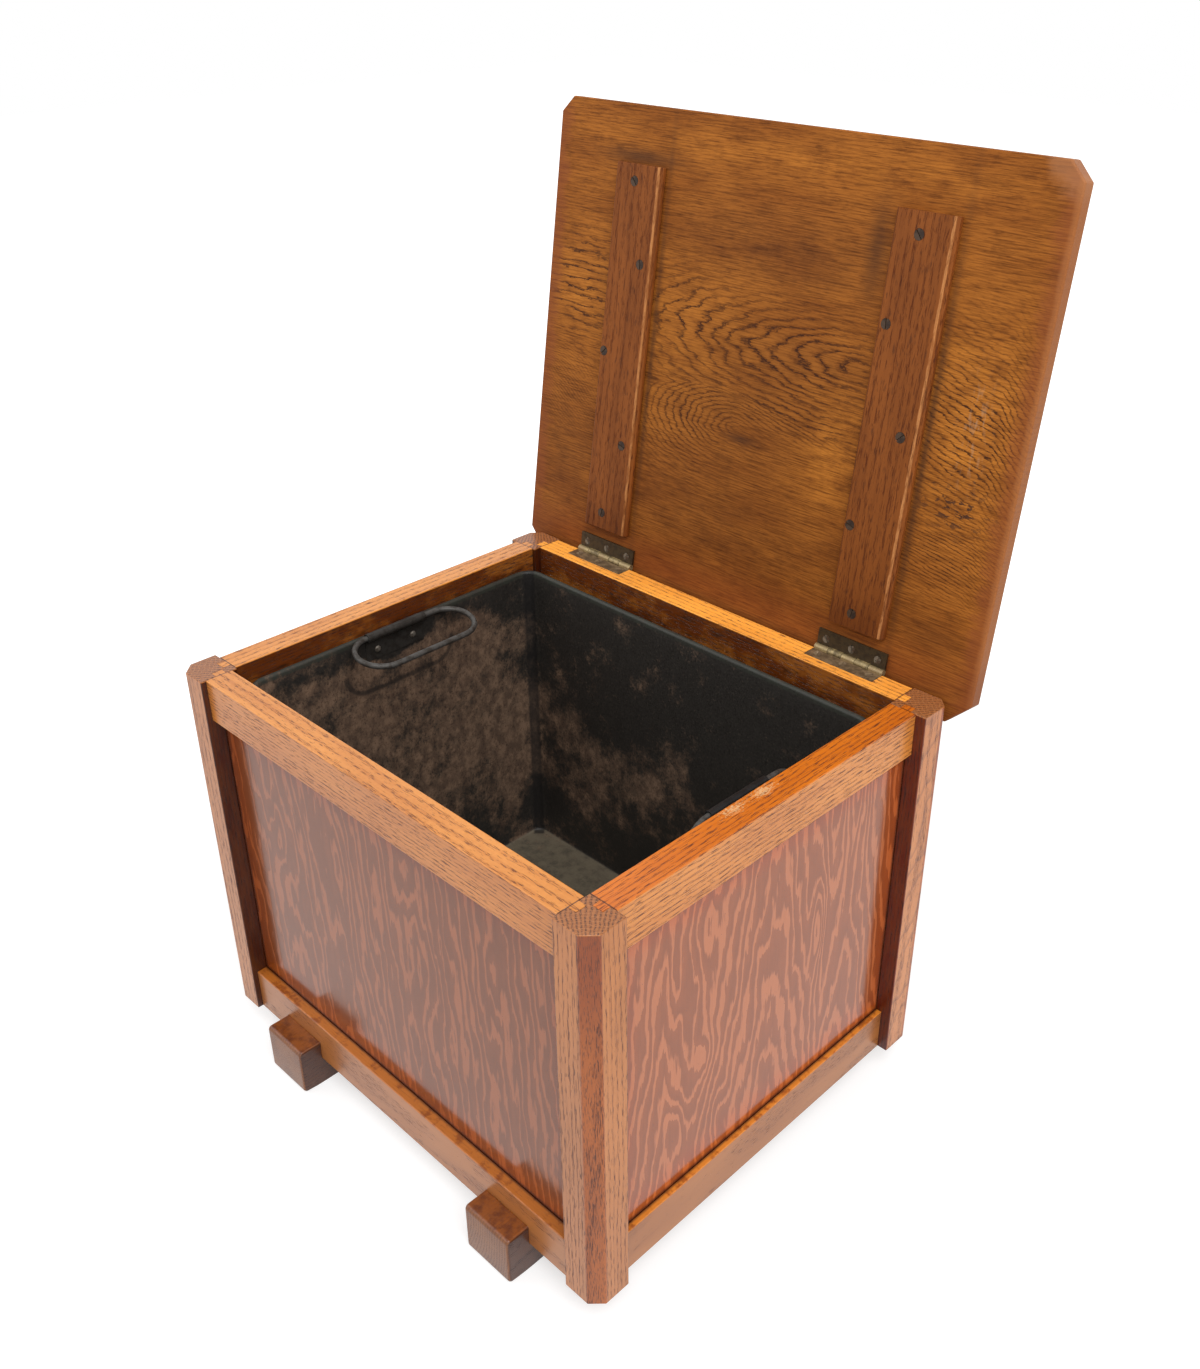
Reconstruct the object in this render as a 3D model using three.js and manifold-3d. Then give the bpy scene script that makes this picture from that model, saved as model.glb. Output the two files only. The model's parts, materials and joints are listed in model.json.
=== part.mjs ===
// Coal box with a hinged lid and a lift-out sheet liner, standing on two runners.
// Millimetres, +X to the right, +Y to the back, +Z up. The model is laid out from the outer
// corner of the front left post at floor level, and centred on its footprint at the end.

import * as THREE from "three";
import { mergeVertices } from "three/addons/utils/BufferGeometryUtils.js";
import Module from "manifold-3d";

const wasm = await Module();
wasm.setup();

// Carcase
const boxWidth = 448;
const boxDepth = 366;
const postSide = 31;
const postHeight = 323.5;
const footLift = 25;
const chamferFrontLeft = 9.5;
const chamferFrontRight = 9;
const chamferBackRight = 7;
const chamferBackLeft = 8.5;

// Grooves that hold the rail tongues and the panels
const grooveInset = 13.5;
const grooveWidth = 8.5;
const grooveDepth = 6.5;

// Rails
const railThickness = 22.5;
const topRailHeight = 35;
const bottomRailHeight = 38;
const railInsetFront = 4.5;
const railInsetBack = 2;
const railInsetLeft = 6;
const railInsetRight = 8.5;

// Panels and bottom board
const panelThickness = 8;
const panelPlay = 0.5;
const boardThickness = 8;
const boardPlay = 0.8;

// Runners
const runnerWidth = 47;
const runnerInset = 73;
const runnerReach = 15.5;
const runnerLap = 18;
const runnerRound = 3.5;

// Liner
const linerInsetLeft = 32;
const linerInsetRight = 34;
const linerInsetFront = 33;
const linerInsetBack = 39;
const linerBelowTop = 14;
const sheet = 1.2;
const beadDiameter = 5;
const beadFlat = 0.4;
const linerCorner = 16;

// Lifting rings and their clips
const ringWire = 2.4;
const ringWidth = 42.5;
const ringStraight = 69;
const ringSlip = 4.4;
const ringSag = THREE.MathUtils.degToRad(8.3);
const ringHang = THREE.MathUtils.degToRad(90);
const clipWidth = 58;
const clipFromFront = { left: 109.5, right: 117 };
const clipSheet = 1;
const clipDrop = 23;
const clipRise = { left: 0.3, right: 2.3 };
const clipRollEnd = THREE.MathUtils.degToRad(-120);
const rivetRadius = 1.5;
const rivetHeadRadius = 3;
const rivetHeadHeight = 1.6;
const rivetTailRadius = 2.4;
const rivetTailHeight = 0.8;
const rivetPitch = 36;
const rivetDrop = 14.5;

// Lid
const lidThickness = 12.4;
const lidOverhangLeft = 11.5;
const lidOverhangRight = 15.5;
const lidOverhangFront = 8;
const lidTail = 19;
const lidClipFront = 12.4;
const lidClipBack = 19;

// Lid battens
const battenWidth = 51;
const battenThickness = 6;
const battenBevel = 3;
const battenInsetLeft = 73.2;
const battenInsetRight = 80;
const battenInsetFront = 44;
const battenInsetBack = 44.7;
const battenScrewSharesLeft = [[0.45, 0.957], [0.74, 0.751], [0.12, 0.503], [0.73, 0.257], [0.42, 0.047]];
const battenScrewSharesRight = [[0.44, 0.95], [0.16, 0.744], [0.71, 0.498], [0.13, 0.256], [0.42, 0.038]];

// Hinges
const hingeLength = 64;
const hingeInsetLeft = 90;
const hingeInsetRight = 91;
const leafThickness = 2;
const leafReach = 15.2;
const barrelRadius = 2.75;
const hingePinRadius = 1.35;
const pinRise = 0.7;
const lidDrop = 3.1;
const leafScrewPitch = 24.2;
const leafScrewReach = 8.2;
const knuckleCount = 5;

// Screws: head radius, head depth, shank radius, length, point length
const battenScrew = { head: 4, cone: 2.6, shank: 1.9, length: 15, point: 4 };
const leafScrew = { head: 3.1, cone: 1.7, shank: 1.5, length: 10, point: 3 };
const slotWidth = 0.9;
const slotDepth = 0.8;

// Clearances
const workGap = 0.3;
const knuckleGap = 0.4;
const cutOver = 2;

// Levels and spans worked out from the sizes above
const railTop = footLift + postHeight;
const topRailBottom = railTop - topRailHeight;
const bottomRailTop = footLift + bottomRailHeight;
const runnerTop = footLift + runnerLap;
const boardTop = runnerTop + boardThickness;
const spanX = boxWidth - postSide * 2;
const spanY = boxDepth - postSide * 2;
const linerRim = railTop - linerBelowTop;
const linerWidth = boxWidth - linerInsetLeft - linerInsetRight;
const linerDepth = boxDepth - linerInsetFront - linerInsetBack;
const lidFront = boxDepth + lidOverhangFront;
const clipRadius = ringWire + workGap + clipSheet;
const openLean = Math.atan2(lidDrop, lidTail) - Math.asin(workGap / Math.hypot(lidDrop, lidTail));
const openAngle = Math.PI / 2 + openLean;
const hingeCentres = { left: hingeInsetLeft, right: boxWidth - hingeInsetRight };

// Materials

function material(color, roughness, metalness) {
  return new THREE.MeshStandardMaterial({ color, roughness, metalness });
}

const oakPost = () => material(0x9a5f38, 0.45, 0);
const oakRail = () => material(0xb9733a, 0.42, 0);
const plyPanel = () => material(0x7a3f28, 0.4, 0);
const oakRunner = () => material(0x80502f, 0.5, 0);
const pineBoard = () => material(0x9c7a55, 0.7, 0);
const oakLid = () => material(0x8f5527, 0.45, 0);
const oakBatten = () => material(0x6f3a20, 0.45, 0);
const blackSheet = () => material(0x24211e, 0.65, 0.6);
const greyIron = () => material(0x5d5850, 0.5, 0.8);
const dullBrass = () => material(0x5d4f33, 0.42, 0.85);
const steelScrew = () => material(0x6d6861, 0.45, 0.85);

// Solids

function solid(geometry) {
  const bare = geometry.clone();
  bare.deleteAttribute("normal");
  bare.deleteAttribute("uv");
  const merged = mergeVertices(bare);
  return new wasm.Manifold(new wasm.Mesh({
    numProp: 3,
    vertProperties: new Float32Array(merged.attributes.position.array),
    triVerts: new Uint32Array(merged.index.array),
  }));
}

function geometryOf(manifold) {
  const mesh = manifold.getMesh();
  const geometry = new THREE.BufferGeometry();
  geometry.setAttribute("position", new THREE.BufferAttribute(mesh.vertProperties, mesh.numProp));
  geometry.setIndex(new THREE.BufferAttribute(mesh.triVerts, 1));
  geometry.computeVertexNormals();
  return geometry;
}

function cut(base, tools) {
  return geometryOf(tools.reduce((left, tool) => left.subtract(solid(tool)), solid(base)));
}

function join(pieces) {
  return geometryOf(pieces.slice(1).reduce((sum, piece) => sum.add(solid(piece)), solid(pieces[0])));
}

function block(x0, x1, y0, y1, z0, z1) {
  const box = new THREE.BoxGeometry(x1 - x0, y1 - y0, z1 - z0);
  return box.translate((x0 + x1) / 2, (y0 + y1) / 2, (z0 + z1) / 2);
}

function outline(points) {
  return new THREE.Shape(points.map(([x, y]) => new THREE.Vector2(x, y)));
}

function prism(shape, depth) {
  return new THREE.ExtrudeGeometry(shape, { depth, bevelEnabled: false, curveSegments: 4 });
}

function turned(points, segments) {
  return new THREE.LatheGeometry(points.map(([r, y]) => new THREE.Vector2(r, y)), segments);
}

function rodAlongX(radius, x0, x1, segments) {
  const rod = new THREE.CylinderGeometry(radius, radius, x1 - x0, segments);
  return rod.rotateZ(Math.PI / 2).translate((x0 + x1) / 2, 0, 0);
}

function roundedRectangle(x0, x1, y0, y1, r) {
  const shape = new THREE.Shape();
  shape.moveTo(x0 + r, y0);
  shape.lineTo(x1 - r, y0);
  shape.absarc(x1 - r, y0 + r, r, -Math.PI / 2, 0, false);
  shape.lineTo(x1, y1 - r);
  shape.absarc(x1 - r, y1 - r, r, 0, Math.PI / 2, false);
  shape.lineTo(x0 + r, y1);
  shape.absarc(x0 + r, y1 - r, r, Math.PI / 2, Math.PI, false);
  shape.lineTo(x0, y0 + r);
  shape.absarc(x0 + r, y0 + r, r, Math.PI, Math.PI * 1.5, false);
  return shape;
}

function mesh(name, geometry, surface) {
  const piece = new THREE.Mesh(geometry, surface);
  piece.name = name;
  return piece;
}

// Screws point along +Z from a flush head at the origin, with a slot across the head

function screwProfile(screw, clearance) {
  return [
    [0, 0],
    [screw.head + clearance, 0],
    [screw.shank + clearance, screw.cone],
    [screw.shank + clearance, screw.length - screw.point],
    [0, screw.length + clearance],
  ];
}

function screwSolid(screw, slotTurn) {
  const body = turned(screwProfile(screw, 0), 10).rotateX(Math.PI / 2);
  const reach = screw.head + cutOver;
  const slot = block(-reach, reach, -slotWidth / 2, slotWidth / 2, -cutOver, slotDepth);
  return cut(body, [slot.rotateZ(slotTurn)]);
}

function screwHole(screw) {
  const hole = turned(screwProfile(screw, workGap), 12).rotateX(Math.PI / 2);
  const mouth = screw.head + workGap;
  const lead = new THREE.CylinderGeometry(mouth, mouth, cutOver, 12);
  return join([hole, lead.rotateX(Math.PI / 2).translate(0, 0, -cutOver / 2)]);
}

// Posts: square bars with two grooves along their length and one chamfered outer corner

function post(name, x, y, inX, inY, chamfer) {
  const g0 = grooveInset;
  const g1 = grooveInset + grooveWidth;
  const deep = postSide - grooveDepth;
  const points = [
    [chamfer, 0], [postSide, 0],
    [postSide, g0], [deep, g0], [deep, g1], [postSide, g1],
    [postSide, postSide],
    [g1, postSide], [g1, deep], [g0, deep], [g0, postSide],
    [0, postSide], [0, chamfer],
  ];
  const piece = mesh(name, prism(outline(points.map(([u, v]) => [u * inX, v * inY])), postHeight), oakPost());
  piece.position.set(x, y, footLift);
  return piece;
}

// Rails: bars with stub tongues in the post grooves and a groove for the panel edge.
// A rail is made along X, its outer face inset from y = 0, its foot at z = 0.

function railSolid(span, height, inset, panelBelow) {
  const half = span / 2;
  const reach = half + grooveDepth;
  const g0 = grooveInset;
  const g1 = grooveInset + grooveWidth;
  const bar = block(-half, half, inset, inset + railThickness, 0, height);
  const tongues = block(-reach, reach, g0, g1, 0, height);
  const over = reach + cutOver;
  const groove = panelBelow
    ? block(-over, over, g0, g1, -cutOver, grooveDepth)
    : block(-over, over, g0, g1, height - grooveDepth, height + cutOver);
  return cut(join([bar, tongues]), [groove]);
}

function placeOnSide(piece, side, z) {
  const middleX = boxWidth / 2;
  const middleY = boxDepth / 2;
  const places = {
    front: [middleX, 0, 0],
    right: [boxWidth, middleY, Math.PI / 2],
    back: [middleX, boxDepth, Math.PI],
    left: [0, middleY, -Math.PI / 2],
  };
  const [x, y, turn] = places[side];
  piece.position.set(x, y, z);
  piece.rotation.z = turn;
  return piece;
}

const sides = {
  front: { span: spanX, inset: railInsetFront },
  right: { span: spanY, inset: railInsetRight },
  back: { span: spanX, inset: railInsetBack },
  left: { span: spanY, inset: railInsetLeft },
};

function topRail(side) {
  const { span, inset } = sides[side];
  const rail = railSolid(span, topRailHeight, inset, true);
  const shaped = side === "back" ? cut(rail, hingeRecesses()) : rail;
  return placeOnSide(mesh(`top_rail_${side}`, shaped, oakRail()), side, topRailBottom);
}

function bottomRail(side) {
  const { span, inset } = sides[side];
  const rail = railSolid(span, bottomRailHeight, inset, false);
  return placeOnSide(mesh(`bottom_rail_${side}`, rail, oakRail()), side, footLift);
}

// Recesses for the lower hinge leaves and their screws, in the back rail's own frame
function hingeRecesses() {
  const floor = topRailHeight - leafThickness;
  const reach = leafReach + workGap;
  const half = hingeLength / 2 + workGap;
  return Object.values(hingeCentres).flatMap((centre) => {
    const middle = boxWidth / 2 - centre;
    const recess = block(middle - half, middle + half, -cutOver, reach, floor, topRailHeight + cutOver);
    const holes = [-1, 0, 1].map((step) => {
      const hole = screwHole(leafScrew).rotateX(Math.PI);
      return hole.translate(middle + step * leafScrewPitch, leafScrewReach, topRailHeight);
    });
    return [recess, ...holes];
  });
}

// Panels stand in the grooves, on the groove floor of the bottom rail

function panel(side) {
  const half = sides[side].span / 2 + grooveDepth - panelPlay;
  const foot = bottomRailTop - grooveDepth;
  const head = topRailBottom + grooveDepth - panelPlay;
  const middle = grooveInset + grooveWidth / 2;
  const y0 = middle - panelThickness / 2;
  const board = block(-half, half, y0, y0 + panelThickness, 0, head - foot);
  return placeOnSide(mesh(`panel_${side}`, board, plyPanel()), side, foot);
}

// Bottom board between the rails, on top of the runners

function bottomBoard() {
  const x0 = postSide + boardPlay;
  const y0 = railInsetFront + railThickness + boardPlay;
  const y1 = boxDepth - railInsetBack - railThickness - boardPlay;
  const board = block(x0, boxWidth - x0, y0, y1, runnerTop, boardTop);
  return mesh("bottom_board", board, pineBoard());
}

// Runners: bars from front to back, notched over the front and back rails

function runner(name, x) {
  const r = runnerRound;
  const y0 = -runnerReach;
  const y1 = boxDepth + runnerReach;
  const frontNotch = railInsetFront;
  const backNotch = boxDepth - railInsetBack;
  const shape = new THREE.Shape();
  shape.moveTo(y0 + r, 0);
  shape.lineTo(y1 - r, 0);
  shape.absarc(y1 - r, r, r, -Math.PI / 2, 0, false);
  shape.lineTo(y1, runnerTop - r);
  shape.absarc(y1 - r, runnerTop - r, r, 0, Math.PI / 2, false);
  shape.lineTo(backNotch, runnerTop);
  shape.lineTo(backNotch, footLift);
  shape.lineTo(backNotch - railThickness, footLift);
  shape.lineTo(backNotch - railThickness, runnerTop);
  shape.lineTo(frontNotch + railThickness, runnerTop);
  shape.lineTo(frontNotch + railThickness, footLift);
  shape.lineTo(frontNotch, footLift);
  shape.lineTo(frontNotch, runnerTop);
  shape.lineTo(y0 + r, runnerTop);
  shape.absarc(y0 + r, runnerTop - r, r, Math.PI / 2, Math.PI, false);
  shape.lineTo(y0, r);
  shape.absarc(y0 + r, r, r, Math.PI, Math.PI * 1.5, false);
  const bar = prism(shape, runnerWidth).rotateX(Math.PI / 2).rotateZ(Math.PI / 2);
  const piece = mesh(name, bar, oakRunner());
  piece.position.x = x;
  return piece;
}

// Liner: a sheet tub with a wired rim rolled outwards, drilled for the clip rivets

function linerTub() {
  const height = linerRim - boardTop;
  const wallOut = beadDiameter - sheet;
  const r = beadDiameter / 2;
  const w = linerWidth;
  const d = linerDepth;
  const body = prism(roundedRectangle(wallOut, w - wallOut, wallOut, d - wallOut, linerCorner - wallOut), height - r);
  const bead = new THREE.ExtrudeGeometry(roundedRectangle(r, w - r, r, d - r, linerCorner - r), {
    depth: beadFlat,
    bevelThickness: r - beadFlat / 2,
    bevelSize: r,
    bevelSegments: 2,
    curveSegments: 4,
  });
  bead.translate(0, 0, height - r - beadFlat / 2);
  const b = beadDiameter;
  const hollow = prism(roundedRectangle(b, w - b, b, d - b, linerCorner - b), height + cutOver);
  hollow.translate(0, 0, sheet);
  const drills = ["left", "right"].flatMap((side) => rivetPlaces(side).map(([y, z]) => {
    const reach = side === "left" ? [-cutOver, b + cutOver] : [w - b - cutOver, w + cutOver];
    const drill = rodAlongX(rivetRadius + workGap, reach[0], reach[1], 12);
    return drill.translate(0, y - linerInsetFront, z - boardTop);
  }));
  const tub = mesh("liner_tub", cut(join([body, bead]), [hollow, ...drills]), blackSheet());
  tub.position.set(linerInsetLeft, linerInsetFront, boardTop);
  return tub;
}

const clipX = {
  left: linerInsetLeft + beadDiameter + clipRadius,
  right: boxWidth - linerInsetRight - beadDiameter - clipRadius,
};

function clipY(side) {
  return linerInsetFront + clipFromFront[side] + clipWidth / 2;
}

function clipZ(side) {
  return linerRim + clipRise[side];
}

function rivetPlaces(side) {
  return [-1, 1].map((step) => [clipY(side) + (step * rivetPitch) / 2, clipZ(side) - rivetDrop]);
}

// Clip: sheet folded round the ring, riveted to the liner wall on its -X side

function handleClip(name) {
  const inner = clipRadius - clipSheet;
  const shape = new THREE.Shape();
  shape.moveTo(-clipRadius, -clipDrop);
  shape.lineTo(-clipRadius, 0);
  shape.absarc(0, 0, clipRadius, Math.PI, clipRollEnd, true);
  shape.lineTo(inner * Math.cos(clipRollEnd), inner * Math.sin(clipRollEnd));
  shape.absarc(0, 0, inner, clipRollEnd, Math.PI, false);
  shape.lineTo(-inner, -clipDrop);
  const roll = new THREE.ExtrudeGeometry(shape, { depth: clipWidth, bevelEnabled: false, curveSegments: 10 });
  roll.rotateX(Math.PI / 2).translate(0, clipWidth / 2, 0);
  const drills = [-1, 1].map((step) => {
    const drill = rodAlongX(rivetRadius + workGap, -clipRadius - cutOver, -clipSheet, 12);
    return drill.translate(0, (step * rivetPitch) / 2, -rivetDrop);
  });
  return mesh(name, cut(roll, drills), greyIron());
}

function rivet(name, step) {
  const grip = clipSheet + sheet + workGap * 2;
  const profile = [
    [0, -rivetTailHeight],
    [rivetTailRadius, -rivetTailHeight],
    [rivetTailRadius, 0],
    [rivetRadius, 0],
    [rivetRadius, grip],
    [rivetHeadRadius, grip],
    [rivetHeadRadius * 0.8, grip + rivetHeadHeight * 0.6],
    [0, grip + rivetHeadHeight],
  ];
  const body = turned(profile, 10).rotateZ(-Math.PI / 2);
  const piece = mesh(name, body, greyIron());
  const wallOutside = -clipRadius - sheet - workGap;
  piece.position.set(wallOutside, (step * rivetPitch) / 2, -rivetDrop);
  return piece;
}

// Ring: a round wire bent to a long link. It lies along +X from its upper run on the Y axis.
// The left ring stands out from the wall, held by its stiff clip, and the right one hangs.

function ringSolid() {
  const steps = 20;
  const turn = Math.PI / steps;
  const radius = ringWidth / 2 / Math.cos(turn);
  const ring = new THREE.TorusGeometry(radius, ringWire, 8, steps).rotateZ(turn);
  const places = ring.attributes.position;
  for (let i = 0; i < places.count; i += 1) {
    const y = places.getY(i);
    places.setY(i, y + (Math.sign(y) * ringStraight) / 2);
  }
  return ring.translate(ringWidth / 2, 0, 0);
}

function liftingHandle(side) {
  const handle = new THREE.Group();
  const ring = mesh(`handle_ring_${side}`, ringSolid(), greyIron());
  ring.position.y = side === "left" ? ringSlip : -ringSlip;
  ring.rotation.y = side === "left" ? ringSag : ringHang;
  handle.add(ring);
  handle.add(handleClip(`handle_clip_${side}`));
  const ends = side === "left" ? { front: -1, back: 1 } : { front: 1, back: -1 };
  handle.add(rivet(`clip_rivet_${side}_front`, ends.front));
  handle.add(rivet(`clip_rivet_${side}_back`, ends.back));
  handle.position.set(clipX[side], clipY(side), clipZ(side));
  handle.rotation.z = side === "left" ? 0 : Math.PI;
  return handle;
}

// Hinges: each leaf is a plate with its own knuckles, cleared round those of the other leaf.
// The pin axis is the X axis, the plate lies towards -Y between two heights.

function leafSolid(z0, z1, ownsOdd) {
  const half = hingeLength / 2;
  const plate = block(-half, half, -leafReach, 0, z0, z1);
  const barrel = rodAlongX(barrelRadius, -half, half, 16);
  const bore = rodAlongX(hingePinRadius + workGap, -half - cutOver, half + cutOver, 12);
  const knuckle = hingeLength / knuckleCount;
  const reliefs = [];
  for (let i = 0; i < knuckleCount; i += 1) {
    const own = i % 2 === (ownsOdd ? 1 : 0);
    if (!own) {
      const x0 = i === 0 ? -half - cutOver : -half + knuckle * i - knuckleGap / 2;
      const x1 = i === knuckleCount - 1 ? half + cutOver : -half + knuckle * (i + 1) + knuckleGap / 2;
      reliefs.push(rodAlongX(barrelRadius + knuckleGap, x0, x1, 16));
    }
  }
  return { plate: join([plate, barrel]), cuts: [bore, ...reliefs] };
}

function leafScrewStations() {
  return [-1, 0, 1].map((step) => step * leafScrewPitch);
}

function lowerLeaf(name) {
  const { plate, cuts } = leafSolid(-pinRise - leafThickness, -pinRise, false);
  const holes = leafScrewStations().map((x) => {
    return screwHole(leafScrew).rotateX(Math.PI).translate(x, -leafScrewReach, -pinRise);
  });
  return mesh(name, cut(plate, [...cuts, ...holes]), dullBrass());
}

function upperLeaf(name) {
  const top = lidDrop - workGap;
  const { plate, cuts } = leafSolid(top - leafThickness, top, true);
  const holes = leafScrewStations().map((x) => {
    return screwHole(leafScrew).translate(x, -leafScrewReach, top - leafThickness);
  });
  return mesh(name, cut(plate, [...cuts, ...holes]), dullBrass());
}

const pinY = boxDepth;
const pinZ = railTop + pinRise;
const screwTurns = [0.5, 1.2, 2.4, 0.1, 1.8];

function fixedHingeParts(side) {
  const hinge = new THREE.Group();
  hinge.add(lowerLeaf(`hinge_lower_leaf_${side}`));
  const half = hingeLength / 2;
  hinge.add(mesh(`hinge_pin_${side}`, rodAlongX(hingePinRadius, -half, half, 12), dullBrass()));
  leafScrewStations().forEach((x, i) => {
    const screw = mesh(`hinge_lower_screw_${side}_${i + 1}`, screwSolid(leafScrew, screwTurns[i]), steelScrew());
    screw.position.set(x, -leafScrewReach, -pinRise);
    screw.rotation.x = Math.PI;
    hinge.add(screw);
  });
  hinge.position.set(hingeCentres[side], pinY, pinZ);
  return hinge;
}

function movingHingeParts(side) {
  const hinge = new THREE.Group();
  hinge.add(upperLeaf(`hinge_upper_leaf_${side}`));
  leafScrewStations().forEach((x, i) => {
    const screw = mesh(`hinge_upper_screw_${side}_${i + 1}`, screwSolid(leafScrew, screwTurns[i + 1]), steelScrew());
    screw.position.set(x, -leafScrewReach, lidDrop - workGap - leafThickness);
    hinge.add(screw);
  });
  hinge.position.x = hingeCentres[side];
  return hinge;
}

// Lid: laid out closed in the frame of the pins, then the whole group is swung open

const lidX0 = -lidOverhangLeft;
const lidX1 = boxWidth + lidOverhangRight;
const battenFoot = lidDrop - workGap - battenThickness;
const battenY0 = -lidFront + battenInsetFront;
const battenY1 = lidTail - battenInsetBack;
const battens = {
  left: { x0: lidX0 + battenInsetLeft, shares: battenScrewSharesLeft },
  right: { x0: lidX1 - battenInsetRight - battenWidth, shares: battenScrewSharesRight },
};

function battenScrewPlaces(side) {
  const { x0, shares } = battens[side];
  return shares.map(([across, along]) => [
    x0 + battenWidth * across,
    battenY1 + (battenY0 - battenY1) * along,
  ]);
}

function lidBoard() {
  const f = lidClipFront;
  const b = lidClipBack;
  const shape = outline([
    [lidX0 + f, -lidFront], [lidX1 - f, -lidFront], [lidX1, -lidFront + f],
    [lidX1, lidTail - b], [lidX1 - b, lidTail],
    [lidX0 + b, lidTail], [lidX0, lidTail - b], [lidX0, -lidFront + f],
  ]);
  const board = prism(shape, lidThickness).translate(0, 0, lidDrop);
  const battenHoles = ["left", "right"].flatMap((side) => battenScrewPlaces(side).map(([x, y]) => {
    return screwHole(battenScrew).translate(x, y, battenFoot);
  }));
  const leafHoles = ["left", "right"].flatMap((side) => leafScrewStations().map((x) => {
    const z = lidDrop - workGap - leafThickness;
    return screwHole(leafScrew).translate(hingeCentres[side] + x, -leafScrewReach, z);
  }));
  return mesh("lid_board", cut(board, [...battenHoles, ...leafHoles]), oakLid());
}

function batten(side) {
  const w = battenWidth;
  const t = battenThickness;
  const b = battenBevel;
  const section = outline([[b, 0], [w - b, 0], [w, b], [w, t], [0, t], [0, b]]);
  const length = battenY1 - battenY0;
  const bar = prism(section, length).rotateX(Math.PI / 2);
  bar.translate(battens[side].x0, battenY1, battenFoot);
  const holes = battenScrewPlaces(side).map(([x, y]) => screwHole(battenScrew).translate(x, y, battenFoot));
  return mesh(`batten_${side}`, cut(bar, holes), oakBatten());
}

function battenScrews(side) {
  return battenScrewPlaces(side).map(([x, y], i) => {
    const screw = mesh(`batten_screw_${side}_${i + 1}`, screwSolid(battenScrew, screwTurns[i]), steelScrew());
    screw.position.set(x, y, battenFoot);
    return screw;
  });
}

function lidAssembly() {
  const lid = new THREE.Group();
  lid.add(lidBoard());
  for (const side of ["left", "right"]) {
    lid.add(batten(side));
    lid.add(...battenScrews(side));
    lid.add(movingHingeParts(side));
  }
  lid.position.set(0, pinY, pinZ);
  lid.rotation.x = -openAngle;
  return lid;
}

// Assembly

const coalBox = new THREE.Group();
coalBox.add(post("post_front_left", 0, 0, 1, 1, chamferFrontLeft));
coalBox.add(post("post_front_right", boxWidth, 0, -1, 1, chamferFrontRight));
coalBox.add(post("post_back_right", boxWidth, boxDepth, -1, -1, chamferBackRight));
coalBox.add(post("post_back_left", 0, boxDepth, 1, -1, chamferBackLeft));
for (const side of ["front", "right", "back", "left"]) {
  coalBox.add(topRail(side));
  coalBox.add(bottomRail(side));
  coalBox.add(panel(side));
}
coalBox.add(bottomBoard());
coalBox.add(runner("runner_left", runnerInset));
coalBox.add(runner("runner_right", boxWidth - runnerInset - runnerWidth));
coalBox.add(linerTub());
for (const side of ["left", "right"]) {
  coalBox.add(liftingHandle(side));
  coalBox.add(fixedHingeParts(side));
}
coalBox.add(lidAssembly());

// The origin is the middle of the footprint on the floor, with the lid open
const extent = new THREE.Box3().setFromObject(coalBox, true);
const middle = extent.getCenter(new THREE.Vector3());
coalBox.position.set(-middle.x, -middle.y, -extent.min.z);

export default coalBox;
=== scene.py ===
"""Coal box with an open lid, two lifting rings and a sheet liner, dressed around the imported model.

Objects are placed in metres, in the row's frame. Sizes inside materials are in millimetres.
The lid's pieces are laid out shut, in the frame of the lid's pin, and then swung open.
Colours are linear red, green and blue.
"""

import json
import math
import random

import bmesh
import bpy
from mathutils import Matrix, Vector


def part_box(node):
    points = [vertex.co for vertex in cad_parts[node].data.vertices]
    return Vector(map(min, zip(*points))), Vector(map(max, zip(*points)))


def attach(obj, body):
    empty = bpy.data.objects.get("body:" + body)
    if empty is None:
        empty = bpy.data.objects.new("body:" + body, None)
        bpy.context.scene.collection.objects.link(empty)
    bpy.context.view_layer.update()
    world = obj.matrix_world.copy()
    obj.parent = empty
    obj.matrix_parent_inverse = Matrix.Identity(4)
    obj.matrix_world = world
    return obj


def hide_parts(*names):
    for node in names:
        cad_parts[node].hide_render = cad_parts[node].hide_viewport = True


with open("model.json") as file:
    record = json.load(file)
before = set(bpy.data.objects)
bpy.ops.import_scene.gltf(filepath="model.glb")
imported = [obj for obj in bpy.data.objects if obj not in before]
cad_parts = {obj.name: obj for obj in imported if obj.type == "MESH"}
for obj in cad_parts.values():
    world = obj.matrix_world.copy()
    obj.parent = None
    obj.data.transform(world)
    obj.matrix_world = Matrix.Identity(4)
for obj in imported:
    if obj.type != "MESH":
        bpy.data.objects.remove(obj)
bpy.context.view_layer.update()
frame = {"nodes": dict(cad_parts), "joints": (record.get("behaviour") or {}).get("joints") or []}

MM = 0.001

# Camera at the photograph's viewing angle
CAMERA_PLACE = (0.65426, -0.61514, 0.85923)
CAMERA_YAW = 44.1255
CAMERA_DIP = 29.1341
CAMERA_ROLL = 0.054
CAMERA_LENS = 35.909
CAMERA_SENSOR = 36
CAMERA_SHIFT = (-0.02875, -0.01726)
CAMERA_SIGHT = 50

# Studio: lamps in metres and watts, and a floor that glows more away from the box, in millimetres
WORLD_LIGHT = 0.62
BACKDROP_LIGHT = 1
FLOOR_REACH = 6.0
FLOOR_BOUNCE = (0.8, 0.8, 0.8, 1)
FLOOR_SEEN = (0.5, 0.5, 0.5, 1)
FLOOR_GLOW = (0.6, 1.05)
FLOOR_GLOW_SPAN = (450, 1100)
MIRROR_GLOW = 0.5
LAMPS = {
    "key": {"place": (1.9, -1.1, 3.2), "target": (0, 0, 0.2), "size": (2.2, 2.2), "power": 85},
    "fill": {"place": (-1.8, -1.6, 2.0), "target": (0, 0, 0.3), "size": (2.0, 2.0), "power": 16},
}

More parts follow.
